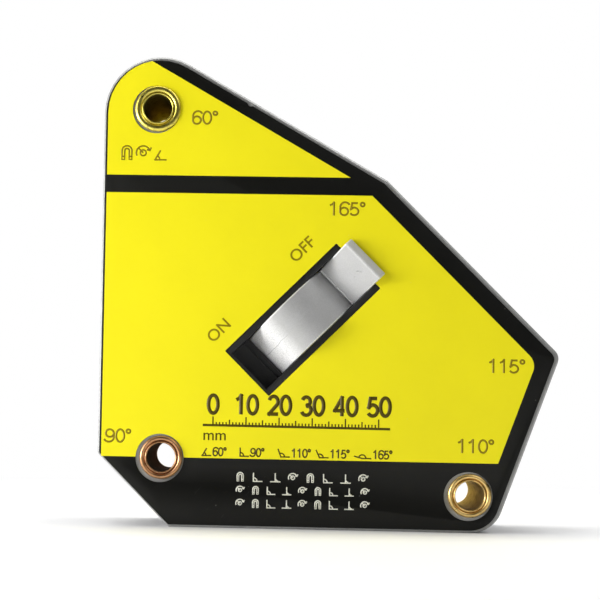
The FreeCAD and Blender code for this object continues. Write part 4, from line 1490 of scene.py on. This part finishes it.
def floor_finish(settings):
    """Pale paper that turns plain white away from the holder, where the lights don't reach."""
    f = Finish("floor_paper", Roughness=0.9, Specular_IOR_Level=0.1)
    f.feed(f.shader, {"Base Color": f.effect("Tone drift", Colour=settings.floor, Size=400.0, Amount=0.01)})
    distance = f.add("ShaderNodeVectorMath", {0: f.where}, out="Value", operation="LENGTH")
    far = f.add("ShaderNodeMapRange", {"Value": distance, "From Min": 110.0, "From Max": 300.0},
                interpolation_type="SMOOTHSTEP")
    f.feed(f.output, {"Surface": white_to_camera(f, "ShaderNodeEmission", f.shader.outputs[0], far)})
    return f.material


def point_camera():
    """Places the camera: eye level with the holder, turned and rolled a little."""
    optics = bpy.data.cameras.new("view")
    optics.sensor_width = 36.0
    optics.lens = 79.02
    optics.shift_x, optics.shift_y = 0.1182, 0.1087
    optics.clip_start, optics.clip_end = 0.01, 20.0
    camera = bpy.data.objects.new("view", optics)
    yaw, pitch, roll = (math.radians(a) for a in (-2.2125, 2.1570, 1.0305))
    forward = Vector((math.sin(yaw) * math.cos(pitch), math.cos(yaw) * math.cos(pitch), math.sin(pitch)))
    level = Vector((math.cos(yaw), -math.sin(yaw), 0))
    upright = level.cross(forward)
    right = level * math.cos(roll) + upright * math.sin(roll)
    top = upright * math.cos(roll) - level * math.sin(roll)
    turn = Matrix((right, top, -forward)).transposed()
    camera.matrix_world = Matrix.Translation((-0.01492, -0.4313, 0.03552)) @ turn.to_4x4()
    bpy.context.scene.collection.objects.link(camera)
    bpy.context.scene.camera = camera


# Lights: name, place, aim (none for the holder's middle) and size, in metres
PANELS = (
    ("low_side", (-0.45, -0.20, 0.03), (-0.015, -0.018, 0.058), (0.2, 0.2)),
    ("left", (-0.6, -0.30, 0.25), None, (0.4, 0.5)),
    ("graze", (-0.55, -0.10, 0.06), None, (0.25, 0.25)),
    ("high_right", (0.5, -0.4, 0.7), None, (0.5, 0.5)),
    ("backdrop", (0.0, 0.15, 1.1), (0.0, 0.75, 0.1), (1.6, 0.5)),
)


class HOLDER_OT_stage(bpy.types.Operator):
    """Set up the floor, the lights and the camera"""
    bl_idname = "holder.stage"
    bl_label = "Stage"

    def execute(self, context):
        scene = context.scene
        settings = scene.magnet_holder.stage
        data = cove_mesh()
        data.materials.append(floor_finish(settings))
        cove = bpy.data.objects.new("cove", data)
        scene.collection.objects.link(cove)

        world = bpy.data.worlds.new("Studio")
        world.use_nodes = True
        nodes = Nodes(world.node_tree)
        surround = world.node_tree.nodes["Background"]
        nodes.feed(surround, {"Color": (1.0, 1.0, 1.0), "Strength": settings.surround})
        nodes.feed(world.node_tree.nodes["World Output"], {
            "Surface": white_to_camera(nodes, "ShaderNodeBackground", surround.outputs[0], 1.0)})
        scene.world = world

        middle = (CAD_BOX[0] + CAD_BOX[1]) / 2
        for name, place, aim, size in PANELS:
            panel_light(name, place, aim or middle, size, getattr(settings, name))
        point_camera()
        scene.view_settings.view_transform = "Standard"
        scene.view_settings.look = "None"
        return {"FINISHED"}


# Add-on

OPERATORS = (HOLDER_OT_plates, HOLDER_OT_sheets, HOLDER_OT_marks, HOLDER_OT_lever, HOLDER_OT_eyelets,
             HOLDER_OT_tub, HOLDER_OT_inner_parts, HOLDER_OT_stage)
SETTINGS = (PlateSettings, LabelSettings, LeverSettings, EyeletSettings, PlasticSettings, StageSettings,
            HolderSettings)


class HOLDER_PT_panel(bpy.types.Panel):
    """Settings and steps of the magnet holder"""
    bl_idname = "HOLDER_PT_panel"
    bl_label = "Magnet holder"
    bl_space_type = "VIEW_3D"
    bl_region_type = "UI"
    bl_category = "Magnet holder"

    def draw(self, context):
        settings = context.scene.magnet_holder
        for title in ("plates", "labels", "lever", "eyelets", "plastic", "stage"):
            group = getattr(settings, title)
            section = self.layout.box()
            section.label(text=title.capitalize())
            for name in group.bl_rna.properties.keys():
                if name not in ("rna_type", "name"):
                    section.prop(group, name)
        for step in OPERATORS:
            self.layout.operator(step.bl_idname)


CLASSES = (*SETTINGS, *OPERATORS, HOLDER_PT_panel)


def register():
    for item in CLASSES:
        bpy.utils.register_class(item)
    bpy.types.Scene.magnet_holder = bpy.props.PointerProperty(type=HolderSettings)


def unregister():
    del bpy.types.Scene.magnet_holder
    for item in reversed(CLASSES):
        bpy.utils.unregister_class(item)


def main():
    register()
    build_effects()
    bpy.ops.holder.plates()
    bpy.ops.holder.sheets()
    bpy.ops.holder.marks()
    bpy.ops.holder.lever()
    bpy.ops.holder.eyelets()
    bpy.ops.holder.tub()
    bpy.ops.holder.inner_parts()
    bpy.ops.holder.stage()


if __name__ == "__main__":
    main()
